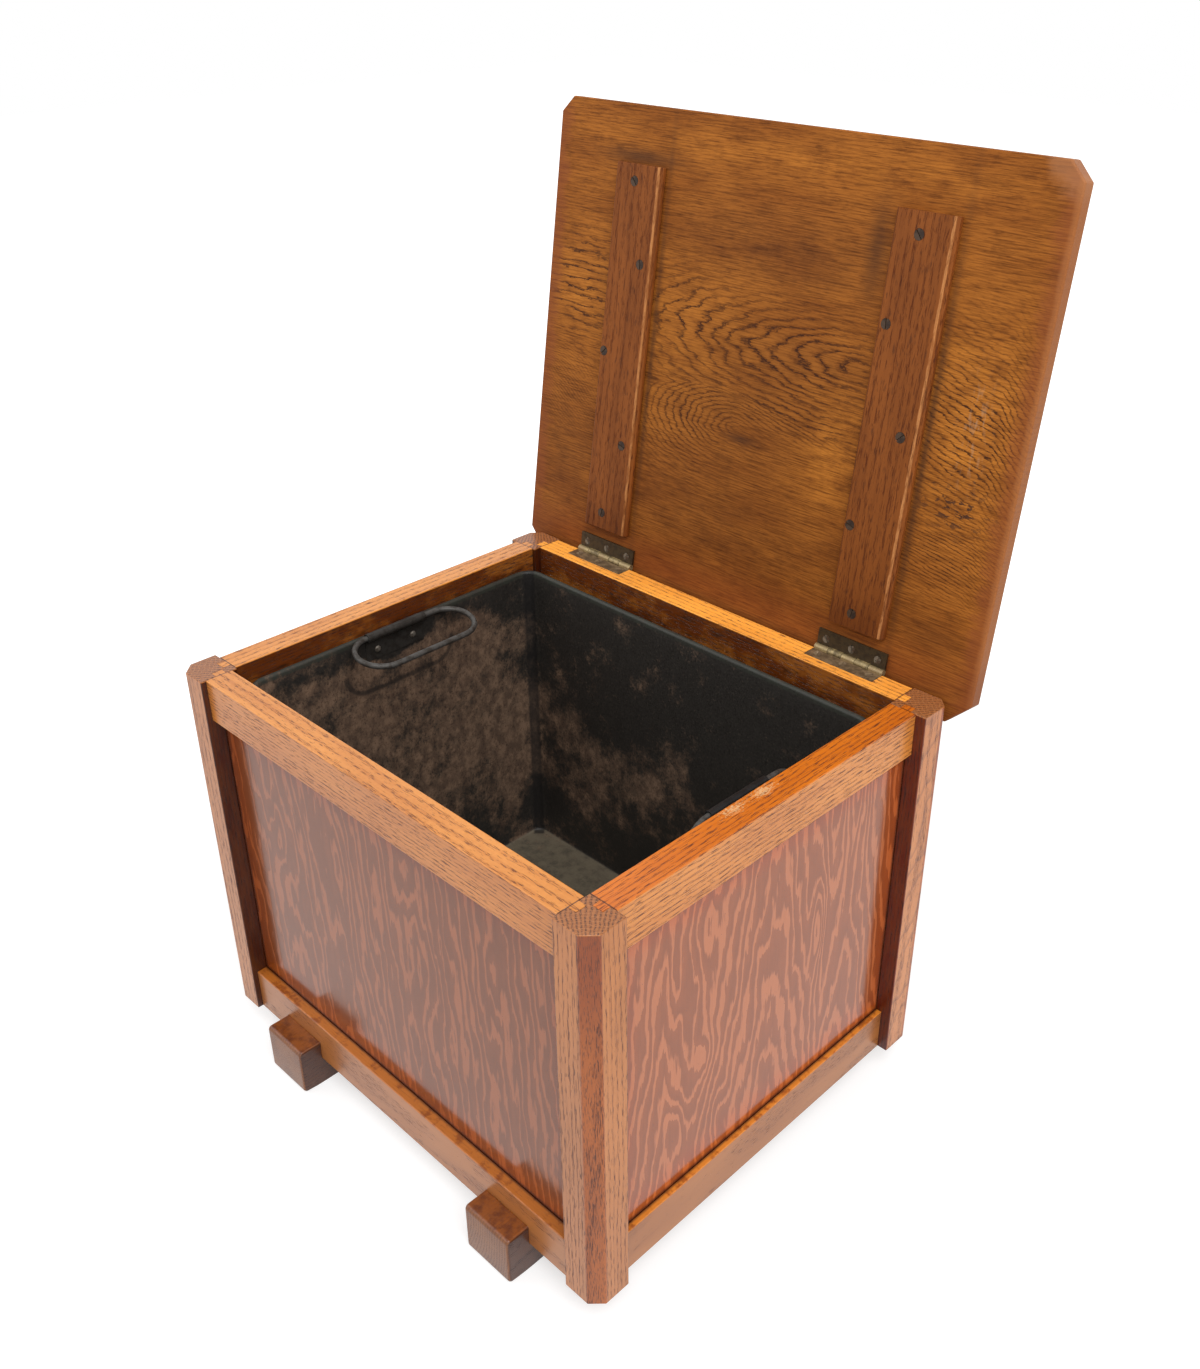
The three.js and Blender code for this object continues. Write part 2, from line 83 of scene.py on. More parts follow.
# The lid's pin, how far the lid stands open, and in millimetres its underside over the pin,
# half its width and the middle of its worn front corner
JOINT_PLACES = {joint["name"]: Vector(joint["pos_m"]) for joint in frame["joints"]}
LID_PIN = JOINT_PLACES["lid_hinge"]
LID_OPEN = math.radians(98.373)
LID_UNDERSIDE = 3.1
LID_HALF_WIDTH = 237.5
LID_CORNER = (239, 376)
LID_MATRIX = Matrix.Translation(LID_PIN) @ Matrix.Rotation(-LID_OPEN, 4, "X")

# Outer corners of the carcase and the levels of its rails, in millimetres
POST_SIDE = 31.0
WEST, EAST, SOUTH, NORTH = -226.0, 222.0, -210.15, 155.85
CARCASE_TOP, TOP_RAIL_FOOT, BOTTOM_RAIL_TOP, RUNNER_TOP = 348.5, 313.5, 63.0, 43.0
SPANS = {"X": (WEST, EAST), "Y": (SOUTH, NORTH)}
CORNERS = {"front_left": (WEST, SOUTH), "front_right": (EAST, SOUTH),
           "back_right": (EAST, NORTH), "back_left": (WEST, NORTH)}

# Sides as the axis that their rails run along, and the direction that they face on the other one
SIDES = {"front": ("X", -1), "right": ("Y", 1), "back": ("X", 1), "left": ("Y", -1)}

# Rails' tongues in the posts' tops: where they end, their middle and half their thickness
TONGUE_END, TONGUE_MIDDLE, TONGUE_HALF = 24.5, 17.75, 4

# Rings: wire radius, width, straight run, then each one's slip along its clip, lean and seed
RING_WIRE, RING_WIDTH, RING_STRAIGHT = 2.4, 42.5, 69.0
RING_SLIP = {"left": 4.4, "right": -4.4}
RING_LEAN = {"left": math.radians(8.3), "right": math.radians(90)}
RING_SEED = {"left": 5, "right": 6}
RING_SECTION, RING_BEND_STEPS, RING_RUN_STEPS = 14, 22, 10

# Liner: wired rim, sheet and foot in millimetres, and the spacing of its points
LINER_BEAD, LINER_SHEET, LINER_FOOT, LINER_CORNER = 2.5, 1.2, 3.2, 16.0
LINER_CORNER_STEPS, LINER_PITCH = 8, 14.0

# Screws in millimetres: radii of head and shank, the cone's depth, then whole length and the point's
BATTEN_SCREW = {"head": 4.0, "shank": 1.9, "cone": 2.6, "length": 15.0, "point": 4.0}
LEAF_SCREW = {"head": 3.1, "shank": 1.5, "cone": 1.7, "length": 10.0, "point": 3.0}
SLOT_WIDTH, SLOT_DEPTH = 0.9, 0.8
TIP_GAP, TIP_RADIUS = 0.3, 0.25
SCREW_TURNS = {"1": 0.9, "2": 1.5, "3": 2.4, "4": 0.3, "5": 1.8}

# A rivet's outline as (radius, reach), without the dome over its head
RIVET_TAIL = [(2.3, -0.7), (2.4, -0.3), (2.4, 0.0), (1.5, 0.0), (1.5, 2.8), (3.0, 2.8)]
RIVET_FOOT, RIVET_HEAD, RIVET_DOME, RIVET_SEAT = -0.8, 3.0, 1.6, 0.8
HEAD_STEPS, RIVET_SECTION = 14, 24

# Segments of every rounded edge
BEVEL_SEGMENTS = 3

# Seeds that shift the grain of each kind of piece
POST_SEED, RAIL_SEED, BOARD_SEED, RUNNER_SEED, BATTEN_SEED = 11, 31, 61, 71, 91
GRAIN_SHIFT = 400


# Node graphs

# Sockets of the Mix node for colours
MIX_SHARE, MIX_LOW, MIX_HIGH, MIX_RESULT = 0, 6, 7, 2


class Value:
    """A number socket that takes part in sums."""

    def __init__(self, graph, socket):
        self.graph = graph
        self.socket = socket

    def math(self, operation, other=None, flip=False):
        node = self.graph.nodes.new("ShaderNodeMath")
        node.operation = operation
        self.graph.feed(node.inputs[1 if flip else 0], self)
        if other is not None:
            self.graph.feed(node.inputs[0 if flip else 1], other)
        return Value(self.graph, node.outputs[0])

    def __add__(self, other):
        return self.math("ADD", other)

    def __sub__(self, other):
        return self.math("SUBTRACT", other)

    def __rsub__(self, other):
        return self.math("SUBTRACT", other, flip=True)

    def __mul__(self, other):
        return self.math("MULTIPLY", other)

    def __truediv__(self, other):
        return self.math("DIVIDE", other)

    def fraction(self):
        return self.math("FRACT")

    def size(self):
        return self.math("ABSOLUTE")

    def root(self):
        return self.math("SQRT")

    def max(self, other):
        return self.math("MAXIMUM", other)

    def min(self, other):
        return self.math("MINIMUM", other)

    def rise(self, low, high, start=0, end=1):
        """Smoothly from start at low to end at high."""
        node = self.graph.nodes.new("ShaderNodeMapRange")
        node.interpolation_type = "SMOOTHSTEP"
        flipped = high < low
        low, high = (high, low) if flipped else (low, high)
        start, end = (end, start) if flipped else (start, end)
        for key, value in zip(("Value", "From Min", "From Max", "To Min", "To Max"),
                              (self, low, high, start, end)):
            self.graph.feed(node.inputs[key], value)
        return Value(self.graph, node.outputs["Result"])

    def window(self, low, high, soft):
        """1 between low and high, and 0 outside, over a soft distance."""
        return self.rise(low - soft, low) * self.rise(high + soft, high)


class Graph:
    """The nodes of a material or world under construction, with the colour so far."""

    def __init__(self, name, kind="materials"):
        self.colour = None
        self.owner = getattr(bpy.data, kind).new(name)
        self.owner.use_nodes = True
        self.nodes = self.owner.node_tree.nodes
        self.nodes.clear()

    def feed(self, socket, value):
        if isinstance(value, Value):
            value = value.socket
        if isinstance(value, bpy.types.NodeSocket):
            self.owner.node_tree.links.new(value, socket)
        else:
            socket.default_value = value

    def node(self, kind, inputs=None, **settings):
        made = self.nodes.new("ShaderNode" + kind)
        for key, value in settings.items():
            setattr(made, key, value)
        for key, value in (inputs or {}).items():
            self.feed(made.inputs[key], value)
        return made

    def light_path(self, ray):
        return Value(self, self.node("LightPath").outputs[ray])

    def coordinates(self, kind):
        found = self.node("TexCoord").outputs[kind]
        return [Value(self, part) for part in self.node("SeparateXYZ", {"Vector": found}).outputs]

    def place(self):
        """Position on the piece in millimetres, as three numbers."""
        return [part * (1 / MM) for part in self.coordinates("Object")]

    def facing(self):
        """The surface's own direction on the piece, as three sizes from 0 to 1."""
        return [part.size() for part in self.coordinates("Normal")]

    def noise(self, x, y, z, detail=2, rough=0.5):
        """Noise between 0 and 1. A place divided by a number gives that grain size in millimetres."""
        vector = self.node("CombineXYZ", {0: x, 1: y, 2: z}).outputs[0]
        settings = {"Vector": vector, "Scale": 1, "Detail": detail, "Roughness": rough}
        return Value(self, self.node("TexNoise", settings).outputs["Fac"])

    def mix(self, share, low, high, kind="MIX"):
        made = self.node("Mix", data_type="RGBA", blend_type=kind)
        for socket, value in ((MIX_SHARE, share), (MIX_LOW, low), (MIX_HIGH, high)):
            self.feed(made.inputs[socket], value)
        return made.outputs[MIX_RESULT]

    def paint(self, share, colour):
        """Covers the colour so far, by the share given."""
        self.colour = self.mix(share, self.colour, colour)

    def stain_and_painted_light(self, share, colour):
        """Lays a see-through colour over the colour so far, by the share given, for stains and for painted
        light and shade.
        """
        self.colour = self.mix(share, self.colour, colour, "MULTIPLY")

    def bump(self, height, depth):
        """Bump whose height of 1 stands for depth in millimetres."""
        made = self.node("Bump", {"Height": height, "Distance": depth * MM, "Strength": 1})
        return made.outputs["Normal"]

    def output(self, shader, kind="OutputMaterial"):
        self.node(kind, {"Surface": shader.outputs[0]})
        return self.owner

    def finish(self, roughness, normal, **uniform):
        """Principled surface. The uniform values go straight on its sockets."""
        varied = {"Base Color": self.colour, "Roughness": roughness, "Normal": normal}
        shader = self.node("BsdfPrincipled", varied)
        for key, value in uniform.items():
            shader.inputs[key.replace("_", " ").title().replace("Ior", "IOR")].default_value = value
        return self.output(shader)


def rgb(red, green, blue):
    return (red, green, blue, 1.0)


WHITE = rgb(1, 1, 1)
BLACK_DIRT = rgb(0.05, 0.014, 0.006)


# Camera, lights and floor

def new_object(name, data):
    made = bpy.data.objects.new(name, data)
    bpy.context.scene.collection.objects.link(made)
    return made


def make_camera():
    data = bpy.data.cameras.new("camera")
    data.lens = CAMERA_LENS
    data.sensor_width = CAMERA_SENSOR
    data.shift_x, data.shift_y = CAMERA_SHIFT
    data.clip_end = CAMERA_SIGHT
    camera = new_object("camera", data)
    yaw, dip = math.radians(CAMERA_YAW), math.radians(CAMERA_DIP)
    level = math.cos(dip)
    ahead = Vector((-math.sin(yaw) * level, math.cos(yaw) * level, -math.sin(dip)))
    turn = ahead.to_track_quat("-Z", "Y").to_matrix().to_4x4()
    roll = Matrix.Rotation(math.radians(CAMERA_ROLL), 4, "Z")
    camera.matrix_world = Matrix.Translation(CAMERA_PLACE) @ turn @ roll
    bpy.context.scene.camera = camera


def make_light(name, place, target, size, power):
    data = bpy.data.lights.new(name, "AREA")
    data.shape = "RECTANGLE"
    data.size, data.size_y = size
    data.energy = power
    light = new_object(name, data)
    light.location = place
    light.rotation_euler = (Vector(target) - Vector(place)).to_track_quat("-Z", "Y").to_euler()


def make_world():
    """Soft light all round, behind a white backdrop that the camera and the reflections see."""
    g = Graph("studio", "worlds")
    seen = g.light_path("Is Camera Ray").max(g.light_path("Is Glossy Ray"))
    light, backdrop = (g.node("Background", {"Color": WHITE, "Strength": strength}).outputs[0]
                       for strength in (WORLD_LIGHT, BACKDROP_LIGHT))
    mixed = g.node("MixShader", {0: seen, 1: light, 2: backdrop})
    bpy.context.scene.world = g.output(mixed, "OutputWorld")


def make_floor():
    """A plain floor that keeps the box's shadow and runs out into white."""
    g = Graph("floor_paper")
    camera, mirror = g.light_path("Is Camera Ray"), g.light_path("Is Glossy Ray")
    paper = g.node("BsdfDiffuse", {"Color": g.mix(camera.max(mirror), FLOOR_BOUNCE, FLOOR_SEEN)})
    x, y, _ = g.place()
    away = length(x, y).rise(*FLOOR_GLOW_SPAN, *FLOOR_GLOW)
    glow = g.node("Emission", {"Color": WHITE, "Strength": camera * away + mirror * MIRROR_GLOW})
    both = g.node("AddShader", {0: paper.outputs[0], 1: glow.outputs[0]})
    bm = bmesh.new()
    bmesh.ops.create_grid(bm, x_segments=2, y_segments=2, size=FLOOR_REACH)
    new_object("floor", to_mesh("floor", bm, g.output(both)))


# Woods

def along(places, axis):
    """Reorders a place as two distances across the grain and one along it."""
    x, y, z = places
    return {"X": (y, z, x), "Y": (x, z, y), "Z": (x, y, z)}[axis]


# The usual oak: colours, ring width and strength, pores' threshold and length, heart, then the polish
OAK = {
    "light": rgb(0.66, 0.235, 0.036),
    "deep": rgb(0.45, 0.13, 0.016),
    "pore": rgb(0.1, 0.022, 0.005),
    "ring": 2.7,
    "rings": 0.28,
    "pores": 0.66,
    "pore_length": 8.0,
    "heart": (-70.0, 55.0),
    "roughness": 0.32,
    "coat": 0.25,
    "specular": 0.5,
}


def oak(name, axis, seed, marks=None, **changes):
    """Polished open-pored oak, with growth rings round a heart beside the piece."""
    spec = {**OAK, **changes}
    g = Graph(name)
    places = g.place()
    shift = random.Random(seed).uniform(-GRAIN_SHIFT, GRAIN_SHIFT)
    a, b, w = along(places, axis)
    w = w + shift
    sway = g.noise(a / 60, b / 60, w / 260)
    heart_a, heart_b = spec["heart"]
    radius = length(a - heart_a + (sway - 0.5) * 14, b - heart_b)
    fray = g.noise(a / 2.2, b / 2.2, w / 30)
    ring = (radius / spec["ring"] + fray * 0.35).fraction()
    early = ring.rise(0, 0.12) * ring.rise(0.62, 0.3)
    fibre = g.noise(a / 0.7, b / 0.7, w / 28, detail=3, rough=0.6)
    broad = g.noise(a / 22, b / 22, w / 120)
    pore_field = g.noise(a / 0.5, b / 0.5, w / spec["pore_length"], detail=1, rough=0.4)
    level = spec["pores"] - early * 0.12 - (broad - 0.5) * 0.06
    pore = (pore_field - level).rise(0, 0.05)
    tone = early * spec["rings"] + broad.rise(0.3, 0.7) * 0.5 + (fibre - 0.5) * 0.6
    g.colour = g.mix(tone, spec["light"], spec["deep"])
    g.paint(pore * 0.85, spec["pore"])
    if marks is not None:
        marks(g, *places)
    roughness = pore * 0.25 + fibre * 0.12 + (spec["roughness"] - 0.06)
    normal = g.bump(fibre * 0.25 - pore, 0.12)
    return g.finish(roughness, normal, coat_weight=spec["coat"], coat_roughness=0.2,
                    specular_ior_level=spec["specular"])


def length(a, b):
    return (a * a + b * b).root()


def hump(u, v, centre_u, centre_v, reach_u, reach_v):
    """A soft hill of height 1."""
    du, dv = (u - centre_u) / reach_u, (v - centre_v) / reach_v
    return ((du * du + dv * dv) * -1).math("EXPONENT")


# Panel figures in millimetres: spacing of the lines, share of pale wood, drift of the lines, gloss,
# folds across the width as (centre, softness, sign), climb of the lines up the panel, and hills as
# (centre across, centre height, reach across, reach up, height)
NARROW_FIGURE = {
    "pitch": 9.0,
    "share": 0.48,
    "drift": 2.2,
    "gloss": 0.72,
    "folds": [(-130, 5, 1), (-108, 6, -1), (-20, 13, 1), (47, 5, -1), (68, 7, 1)],
    "climb": 1 / 62,
    "hills": [(33, 212, 8, 42, -3.2), (68, 320, 14, 60, -3.4), (-98, 290, 14, 45, -2.2),
              (-122, 262, 8, 45, 1.2), (-90, 165, 16, 22, 1.6), (-75, 90, 18, 28, -1.5),
              (-118, 118, 10, 30, -1.6)],
}
WIDE_FIGURE = {
    "pitch": 8.5,
    "share": 0.42,
    "drift": 2.8,
    "gloss": 0.56,
    "folds": [(-185, 6, 1), (-145, 8, -1), (-128, 8, 1), (-80, 12, -1), (-66, 10, 1), (18, 9, -1),
              (34, 9, 1), (112, 8, -1), (119, 6, 1)],
    "climb": 1 / 120,
    "hills": [(-140, 225, 16, 30, -1.8), (30, 205, 16, 60, -1.1), (28, 275, 9, 28, 0.9),
              (40, 138, 14, 30, 1.3), (115, 252, 8, 34, 1.5), (-55, 235, 10, 38, -1.4),
              (-128, 165, 10, 45, 1.6)],
}


def fir_panel(side, shift):
    """Varnished rotary-cut fir: jagged flames and thin contour lines that run up the panel."""
    axis, _ = SIDES[side]
    low, high = SPANS[axis]
    figure, salmon, brown = PANELS[side]
    g = Graph(f"fir_panel_{side}")
    x, y, z = g.place()
    u = x if axis == "X" else y
    sway = g.noise(u / 34 + shift, 0.0, z / 130, detail=1.5)
    drift = g.noise(u / 12 + shift, 3.0, z / 60)
    fray = g.noise(u / 1.5, 6.0, z / 17, rough=0.6)
    bent = u + (sway - 0.5) * 16
    spread_of_pale = g.noise(u / 24 + shift, 5.0, z / 70, detail=1)
    field = z * figure["climb"] + (drift - 0.5) * figure["drift"] + (fray - 0.5) * 0.5
    for centre, soft, sign in figure["folds"]:
        field = field + length(bent - centre, soft) * (sign / figure["pitch"])
    for centre_u, centre_v, reach_u, reach_v, height in figure["hills"]:
        field = field + hump(u, z, centre_u, centre_v, reach_u, reach_v) * height
    phase = field.fraction()
    share = (spread_of_pale - 0.5) * 0.9 + figure["share"]
    band = phase.rise(0, 0.06) * (share - phase).rise(0, 0.16)
    fibre = g.noise(u / 0.7, 9.0, z / 45, detail=3, rough=0.65)
    patch = g.noise(u / 40, 12.0, z / 60)
    deep_brown = rgb(*(c * 0.84 for c in brown[:3]))
    ground = g.mix(phase.rise(0.5, 1) * 0.75 + (patch - 0.5) * 0.6, deep_brown, brown)
    lively_salmon = rgb(*(c * 1.12 for c in salmon[:3]))
    figured = g.mix(band, ground, g.mix(patch, salmon, lively_salmon))
    g.colour = g.mix((fibre - 0.48) * 0.7, figured, rgb(0.12, 0.028, 0.009))
    inside = (u - low).min(high - u) - POST_SIDE
    inside = inside.min((z - BOTTOM_RAIL_TOP) * 0.8).min(TOP_RAIL_FOOT - z)
    # Painted reflection: a warm orange glow near the posts and rails, where the panel mirrors them
    border = (inside + (patch - 0.5) * 12).rise(26, 4)
    g.stain_and_painted_light(border * 0.85, rgb(1.1, 0.78, 0.42))
    # Painted shade: a dark line along the panel's edge, in the recess beside the posts and under the rails
    g.paint(inside.rise(4, 0.3) * 0.85, rgb(0.05, 0.01, 0.004))
    dots = g.noise(u / 1.1, 15.0, z / 1.4, detail=0).rise(0.8, 0.84)
    g.paint(dots * 0.8, rgb(0.05, 0.012, 0.006))
    normal = g.bump(fibre * 0.5 - band * 0.4, 0.06)
    return g.finish(fibre * 0.04 + 0.12, normal, specular_ior_level=figure["gloss"])


def lid_figure(x, v):
    """Growth lines of the lid's underside as a field with a dark line at each whole number.

    Long ovals lie over a second set of arches in the middle, and slanting lines run at both sides.
    """
    upper = length((x - 100) / 4.0, v - 215) / 5.0
    rightward = (x + 10).max(0)
    leftward = (-10 - x).max(0) / 2.4
    lower = length(leftward, v - 146 + rightward * 0.22) / 3.0
    middle = upper.min(lower + 0.5)
    east = (v + (x - 157) * 0.3 + (x - 212).max(0) * 0.5) / 4.6 - (130 - v).max(0) * 0.16
    west = v / 7.0 - (185 - v).max(0) * 0.19 + (x + 200) * 0.2 * v.rise(190, 150)
    joined = west + (middle - west) * x.rise(-150, -149)
    return joined + (east - joined) * x.rise(130, 131)


# Places on the lid as (x, distance from the pin, reach in x, reach from the pin, strength)
LID_GOLD = [(-75, 205, 62, 60, 0.5), (82, 150, 30, 42, 0.8), (195, 195, 48, 75, 0.9),
            (-200, 215, 40, 50, 0.6), (20, 350, 200, 13, 0.4)]
LID_LINES = [(40, 214, 75, 34, 1.2), (-82, 228, 50, 34, 0.9), (-68, 142, 60, 46, 0.85),
             (50, 165, 70, 16, 0.7), (-195, 228, 40, 42, 1.3), (-205, 135, 32, 34, 0.5),
             (195, 190, 55, 68, 1.1), (190, 95, 55, 26, 0.8)]
LID_SHADE = [(10, 285, 110, 26, 0.5), (0, 165, 90, 50, 0.3), (-10, 55, 130, 48, 0.45),
             (-200, 90, 40, 50, 0.4), (60, 215, 60, 14, 0.3)]
# The last places hold grime by the battens' tops and painted shadow lines along both battens
LID_GRIME_AND_SHADOW = [(-142, 335, 36, 6, 1.0), (93, 300, 8, 30, 0.8), (-109, 180, 3, 160, 0.8),
             (161, 170, 3.5, 150, 0.9), (-5, 139, 14, 3.5, 0.9), (195, 40, 26, 14, 0.3)]


def zones(x, v, places):
    """Strength of the places at a point, at most 1."""
    total = 0.0
    for centre_x, centre_v, reach_x, reach_v, strength in places:
        total = hump(x, v, centre_x, centre_v, reach_x, reach_v) * strength + total
    return total.min(1)


def lid_oak():
    """The lid's wood: figured, gold and shaded in places, with grime, painted shadow along the battens and
    scuffs on its underside.
    """
    g = Graph("oak_lid")
    x, y, z = g.place()
    v = y * -1
    wander = g.noise(x / 40, v / 11, z / 20)
    jag = g.noise(x / 7, v / 2.2, z / 8, detail=4, rough=0.7)
    field = lid_figure(x, v) + (wander - 0.5) * 2.1 + (jag - 0.5) * 0.9
    phase = field.fraction()
    line = phase.rise(0, 0.05) * phase.rise(0.36, 0.14)
    dashes = g.noise(x / 5, v / 0.9, z / 0.9, rough=0.6)
    line = line * dashes.rise(0.36, 0.5, 0.35)
    zone = zones(x, v, LID_LINES) * g.noise(x / 26, v / 9, 3.0).rise(0.28, 0.52, 0.5)
    under = z.rise(LID_UNDERSIDE + 1.4, LID_UNDERSIDE + 0.4)
    fibre = g.noise(x / 30, v / 1.1, z / 1.1, detail=3, rough=0.65)
    thread = g.noise(x / 9, v / 0.6, z / 0.6, rough=0.6)
    broad = g.noise(x / 90, v / 30, z / 30, detail=3)
    blotch = g.noise(x / 22, v / 14, 8.0, detail=5, rough=0.65)
    g.colour = g.mix(broad.rise(0.34, 0.66), rgb(0.39, 0.128, 0.018), rgb(0.29, 0.088, 0.012))
    gold = zones(x, v, LID_GOLD) * blotch.rise(0.62, 0.38, 0.25, 0.9)
    g.paint(gold, rgb(0.64, 0.23, 0.03))
    shaded = zones(x, v, LID_SHADE) * blotch.rise(0.35, 0.6, 0.45)
    g.paint(shaded, rgb(0.13, 0.04, 0.01))
    g.stain_and_painted_light((fibre - 0.42) * 3.2, rgb(0.36, 0.31, 0.28))
    g.stain_and_painted_light(thread.rise(0.5, 0.68) * 0.6, rgb(0.42, 0.36, 0.32))
    g.stain_and_painted_light(blotch.rise(0.54, 0.72) * 0.4, rgb(0.42, 0.38, 0.38))
    g.paint(phase.window(0.5, 0.85, 0.1) * zone * 0.2, rgb(0.5, 0.18, 0.03))
    g.paint((line * zone).min(0.95), rgb(0.04, 0.012, 0.005))
    spots = g.noise(x / 10, v / 4, 5.0, detail=3, rough=0.65).rise(0.55, 0.6)
    spots = spots * hump(x, v, 195, 137, 30, 17)
    g.paint(spots * under, rgb(0.045, 0.02, 0.014))
    scuff = g.noise(x / 3.5, v / 12, 7.0, detail=3).rise(0.5, 0.75) * hump(x, v, 196, 192, 9, 32)
    g.paint(scuff * under * 0.7, rgb(0.48, 0.3, 0.18))
    worn = (LID_HALF_WIDTH - x.size() + (blotch - 0.5) * 30).rise(19, 4)
    g.paint(worn * 0.5, rgb(0.23, 0.058, 0.022))
    corner = length(x - LID_CORNER[0], v - LID_CORNER[1]) + (blotch - 0.5) * 26
    g.paint(corner.rise(34, 18) * 0.5, rgb(0.46, 0.2, 0.09))
    g.paint((x + (blotch - 0.5) * 6).rise(232, 236) * 0.4, rgb(0.46, 0.18, 0.06))
    # Grime on the underside, and painted shadow along the battens
    g.paint(zones(x, v, LID_GRIME_AND_SHADOW) * under * 0.75, rgb(0.05, 0.02, 0.01))
    g.paint(v.rise(44, 8) * 0.4, rgb(0.17, 0.04, 0.012))
    normal = g.bump(fibre * 0.4 - line * zone * 0.4 - thread * 0.3, 0.14)
    return g.finish(fibre * 0.15 + 0.32 + under * 0.18, normal, specular_ior_level=0.12)


# Marks on the oak pieces

def tongue_outline(run, across):
    """Distance to the outline of a rail's tongue that ends in the post's top."""
    beside = (across - TONGUE_MIDDLE).size() - TONGUE_HALF
    return (run - TONGUE_END).size().max(beside).min(beside.size().max(TONGUE_END - run))


def end_grain(g, a, b):
    """Rows of open pores that run from the chamfer inwards, crossed by pale rays, and the joints."""
    turn = length(a + 40, b + 40)
    sway = g.noise(a / 9, b / 9, 4.0)
    row = ((a - b) / turn * 20 + sway * 1.2).fraction()
    holes = g.noise(a / 1.0, b / 1.0, 1.0, detail=1).rise(0.44, 0.52)
    pores = row.rise(0, 0.15) * row.rise(0.6, 0.42) * holes
    crossing = (turn / 3.4 + sway * 2).fraction()
    ray = crossing.rise(0, 0.1) * crossing.rise(0.3, 0.14)
    mottle = g.noise(a / 3, b / 3, 2.0, detail=3)
    g.colour = g.mix(mottle, rgb(0.45, 0.162, 0.048), rgb(0.31, 0.104, 0.03))
    g.paint(row.window(0.05, 0.5, 0.1) * 0.3, rgb(0.22, 0.072, 0.025))
    g.paint(pores * 0.85, rgb(0.08, 0.026, 0.01))
    g.paint(ray * 0.4, rgb(0.54, 0.23, 0.085))
    border = (POST_SIDE - a).size().min((POST_SIDE - b).size())
    joint = tongue_outline(a, b).min(tongue_outline(b, a)).min(border)
    gap = (joint + (mottle - 0.5) * 0.5).rise(0.6, 0.15)
    g.paint(gap * 0.85, rgb(0.045, 0.014, 0.006))


# Each post's painted shade on the sides towards the panels, in their recess, and the painted light that
# brightens its east side
USUAL_RECESS_SHADE = rgb(0.11, 0.045, 0.03)
POST_PAINTED_LIGHT = {"front_left": (USUAL_RECESS_SHADE, WHITE),
               "front_right": (USUAL_RECESS_SHADE, rgb(1.12, 1.14, 1.16)),
               "back_right": (rgb(0.23, 0.056, 0.01), rgb(1.32, 1.34, 1.45)),
               "back_left": (USUAL_RECESS_SHADE, WHITE)}


def post_marks(corner):
    """Painted shade on the sides towards the panels, painted light on the east side, a warmer chamfer and
    an end grain on top.
    """
    corner_x, corner_y = CORNERS[corner]
    stain_and_painted_light, east_painted_light = POST_PAINTED_LIGHT[corner]

    def marks(g, x, y, z):
        a, b = (x - corner_x).size(), (y - corner_y).size()
        blotch = g.noise(x / 6, y / 6, z / 30, detail=3)
        inner = a.max(b).rise(POST_SIDE - 0.9, POST_SIDE - 0.2)
        below = z.rise(CARCASE_TOP - 0.4, CARCASE_TOP - 1.4)
        # Painted light brightens the east side, and painted shade darkens the sides in the recess towards
        # the panels
        g.stain_and_painted_light(x.rise(EAST - 0.9, EAST - 0.2) * below, east_painted_light)
        g.stain_and_painted_light(inner * below * (blotch * 0.3 + 0.8), stain_and_painted_light)
        chamfer = (a + b).rise(10.6, 9.6) * below
        g.stain_and_painted_light(chamfer, rgb(0.84, 0.6, 0.22))
        g.stain_and_painted_light(chamfer * z.rise(240, 335) * 0.8, rgb(0.6, 0.42, 0.26))
        dashes = g.noise(x / 0.5, y / 0.5, z / 5, detail=1).rise(0.58, 0.64)
        g.paint(chamfer * dashes * 0.6, BLACK_DIRT)
        if corner == "back_right":
            wobble = g.noise(2.0, y / 24, z / 50)
            slant = ((z - y * 1.2 + blotch * 6 + wobble * 90) / 34).fraction()
            line = slant.rise(0, 0.04) * slant.rise(0.4, 0.06) * a.rise(0.4, 0.1)
            g.stain_and_painted_light(line * 0.6, rgb(0.5, 0.42, 0.38))
        sides = g.colour
        end_grain(g, a, b)
        g.colour = g.mix(g.facing()[2].rise(0.6, 0.8), sides, g.colour)
    return marks


# Painted sheen on the polished tops of the top rails: share of the tint, then the tint. The right rail's
# tint paints the lid's reddish reflection.
TOP_PAINTED_SHEEN = {"front": (0.1, rgb(1.1, 1.1, 1.0)), "left": (0.2, rgb(1.1, 1.15, 1.0)),
             "right": (0.85, rgb(0.88, 0.555, 0.085)), "back": (1.0, rgb(1.85, 2.18, 2.1))}

# Ledges of the bottom rails in front of the panels: distance from the rail's outside, then the ledge's
# colour, which differs by side as painted light
LEDGES = {"front": (9.25, rgb(0.5, 0.145, 0.012)), "back": (11.75, rgb(0.62, 0.195, 0.024)),
          "left": (7.75, rgb(0.62, 0.195, 0.024)), "right": (5.25, rgb(0.9, 0.29, 0.022))}

# Pale scuffs on the right rail's top as (x, y, reach in x, reach in y, strength)
RAIL_SCUFFS = [(196.0, -56, 5, 12, 1), (196.5, -26, 5.5, 12, 1)]


